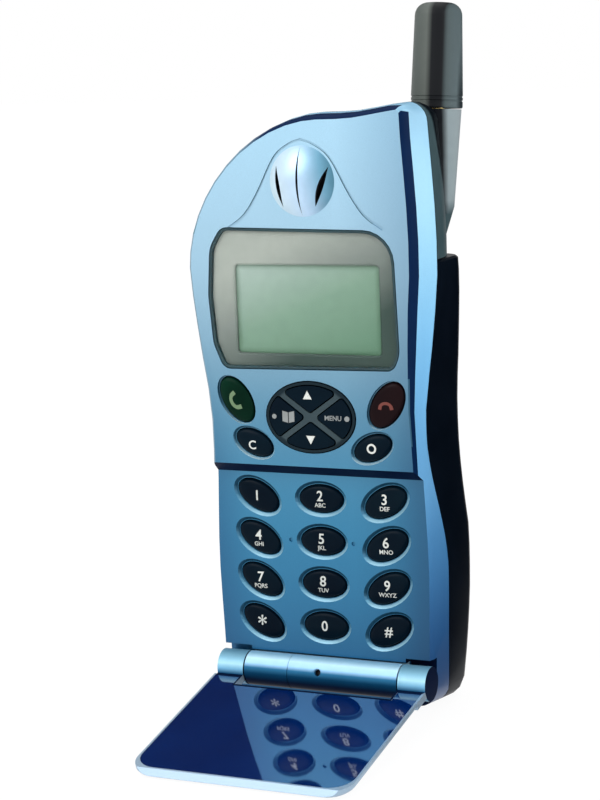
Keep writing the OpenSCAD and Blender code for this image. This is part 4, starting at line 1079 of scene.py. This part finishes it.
# Focal length in pixels of a frame that is FRAME_H pixels high
FOCAL_PX, FRAME_H, SENSOR_MM = 2245.25, 800, 36
right = Vector((math.cos(AZIMUTH), math.sin(AZIMUTH), 0))
up = Vector((-math.sin(AZIMUTH) * math.sin(ELEVATION), math.cos(AZIMUTH) * math.sin(ELEVATION),
             math.cos(ELEVATION)))
back = right.cross(up)
view_right = right * math.cos(ROLL) - up * math.sin(ROLL)
view_up = right * math.sin(ROLL) + up * math.cos(ROLL)
camera_axes = Matrix((view_right, view_up, back)).transposed()
lean_turn = Matrix.Rotation(-LEAN, 3, "X")
camera_data = bpy.data.cameras.new("camera")
camera_data.sensor_width = SENSOR_MM
camera_data.lens = FOCAL_PX * SENSOR_MM / FRAME_H
camera_data.clip_start = 0.01
camera = bpy.data.objects.new("camera", camera_data)
bpy.context.scene.collection.objects.link(camera)
camera_shift = Matrix.Translation(STAND @ Vector(CAMERA_PLACE))
camera.matrix_world = camera_shift @ (lean_turn @ camera_axes).to_4x4()
bpy.context.scene.camera = camera


# ---- Light and table ----


def looked_at(tree):
    """1 where the camera, a mirror or glass looks, and 0 for light that falls on things."""
    ray = tree.nodes.new("ShaderNodeLightPath")
    seen = math_node(tree, "MAXIMUM", ray.outputs["Is Camera Ray"], ray.outputs["Is Glossy Ray"])
    return math_node(tree, "MAXIMUM", seen, ray.outputs["Is Transmission Ray"])


# The studio is bright just above the table, dimmer half way up its walls and light overhead;
# the camera, mirrors and glass see plain white
ROOM_LEVELS = [(0.0, 0.75), (0.12, 1.15), (0.45, 0.2), (0.72, 1.0), (1.0, 1.0)]
world = bpy.data.worlds.new("studio")
bpy.context.scene.world = world
world.use_nodes = True
room_tree = world.node_tree
room_tree.nodes.clear()
world_out = room_tree.nodes.new("ShaderNodeOutputWorld")
facing = room_tree.nodes.new("ShaderNodeTexCoord")
facing_split = room_tree.nodes.new("ShaderNodeSeparateXYZ")
room_tree.links.new(facing.outputs["Generated"], facing_split.inputs[0])
room = colour_ramp(room_tree, facing_split.outputs["Z"],
                   [(place, (level, level, level)) for place, level in ROOM_LEVELS], "B_SPLINE")
room_light = room_tree.nodes.new("ShaderNodeBackground")
room_tree.links.new(room, room_light.inputs["Color"])
white_room = room_tree.nodes.new("ShaderNodeBackground")
white_room.inputs["Color"].default_value = (*WHITE, 1)
pick = room_tree.nodes.new("ShaderNodeMixShader")
room_tree.links.new(looked_at(room_tree), pick.inputs[0])
room_tree.links.new(room_light.outputs[0], pick.inputs[1])
room_tree.links.new(white_room.outputs[0], pick.inputs[2])
room_tree.links.new(pick.outputs[0], world_out.inputs[0])


HANDSET_MIDDLE = Vector((0, 0, 0.07))


def soft_lamp(name, place, size, power):
    """A broad lamp that points at the middle of the handset."""
    data = bpy.data.lights.new(name, "AREA")
    data.shape = "RECTANGLE"
    data.size, data.size_y = size
    data.energy = power
    lamp = bpy.data.objects.new(name, data)
    bpy.context.scene.collection.objects.link(lamp)
    lamp.location = place
    lamp.rotation_euler = (HANDSET_MIDDLE - Vector(place)).to_track_quat("-Z", "Y").to_euler()


soft_lamp("key_light", (-0.35, -0.55, 0.6), (0.5, 0.5), 3.0)
soft_lamp("right_light", (0.65, -0.2, 0.35), (0.3, 0.6), 1.6)
soft_lamp("top_light", (0.0, 0.1, 0.8), (0.6, 0.6), 1.2)

# The table lies just below the handset, so that their faces don't meet
TABLE_SIZE, TABLE_Z = 3, -0.0003
bpy.ops.mesh.primitive_plane_add(size=TABLE_SIZE, location=(0, 0, TABLE_Z))
table = bpy.context.object
table.name = "table"
bpy.ops.object.transform_apply(location=True)
# The camera sees the table nearly white, with the handset's shadow left on it
TABLE_GLOW, GLOW_SHARE = 1.03, 0.92
table_paint, tree, shader = new_material("pale_table")
set_values(shader, {"Base Color": (0.9, 0.9, 0.9, 1), "Roughness": 0.6})
glow = tree.nodes.new("ShaderNodeEmission")
glow.inputs["Strength"].default_value = TABLE_GLOW
mix = tree.nodes.new("ShaderNodeMixShader")
tree.links.new(math_node(tree, "MULTIPLY", looked_at(tree), GLOW_SHARE), mix.inputs[0])
tree.links.new(shader.outputs[0], mix.inputs[1])
tree.links.new(glow.outputs[0], mix.inputs[2])
tree.links.new(mix.outputs[0], tree.nodes["Material Output"].inputs[0])
paint(table, table_paint)

# Three black cards that only glossy surfaces meet: one hangs behind, for the flip's mirror,
# one stands behind at the right and one lies beside the battery, for the black side. They
# hide nothing and shade nothing.
card_cloth = moulded("black_card_cloth", (0.004, 0.004, 0.005), (0.008, 0.008, 0.009), (0.8, 0.9),
                     specular=0.1)
for name, place, turned, size in (("high_card", (-0.27, 0.48, 0.42), (60, 0, 30), (0.8, 0.5)),
                                  ("side_card", (0.22, 0.15, 0.2), (90, 0, -15), (0.42, 0.4)),
                                  ("low_card", (0.177, 0.05, 0.0005), (0, 0, 0), (0.3, 0.3))):
    bpy.ops.object.select_all(action="DESELECT")
    bpy.ops.mesh.primitive_plane_add(size=1, location=place, rotation=[math.radians(a) for a in turned])
    card = bpy.context.object
    card.name = name
    card.scale = (*size, 1)
    bpy.ops.object.transform_apply(location=True, rotation=True, scale=True)
    paint(card, card_cloth)
    card.visible_camera = False
    card.visible_diffuse = False
    card.visible_transmission = False
    card.visible_shadow = False
bpy.ops.object.select_all(action="DESELECT")

bpy.context.scene.view_settings.view_transform = "Standard"
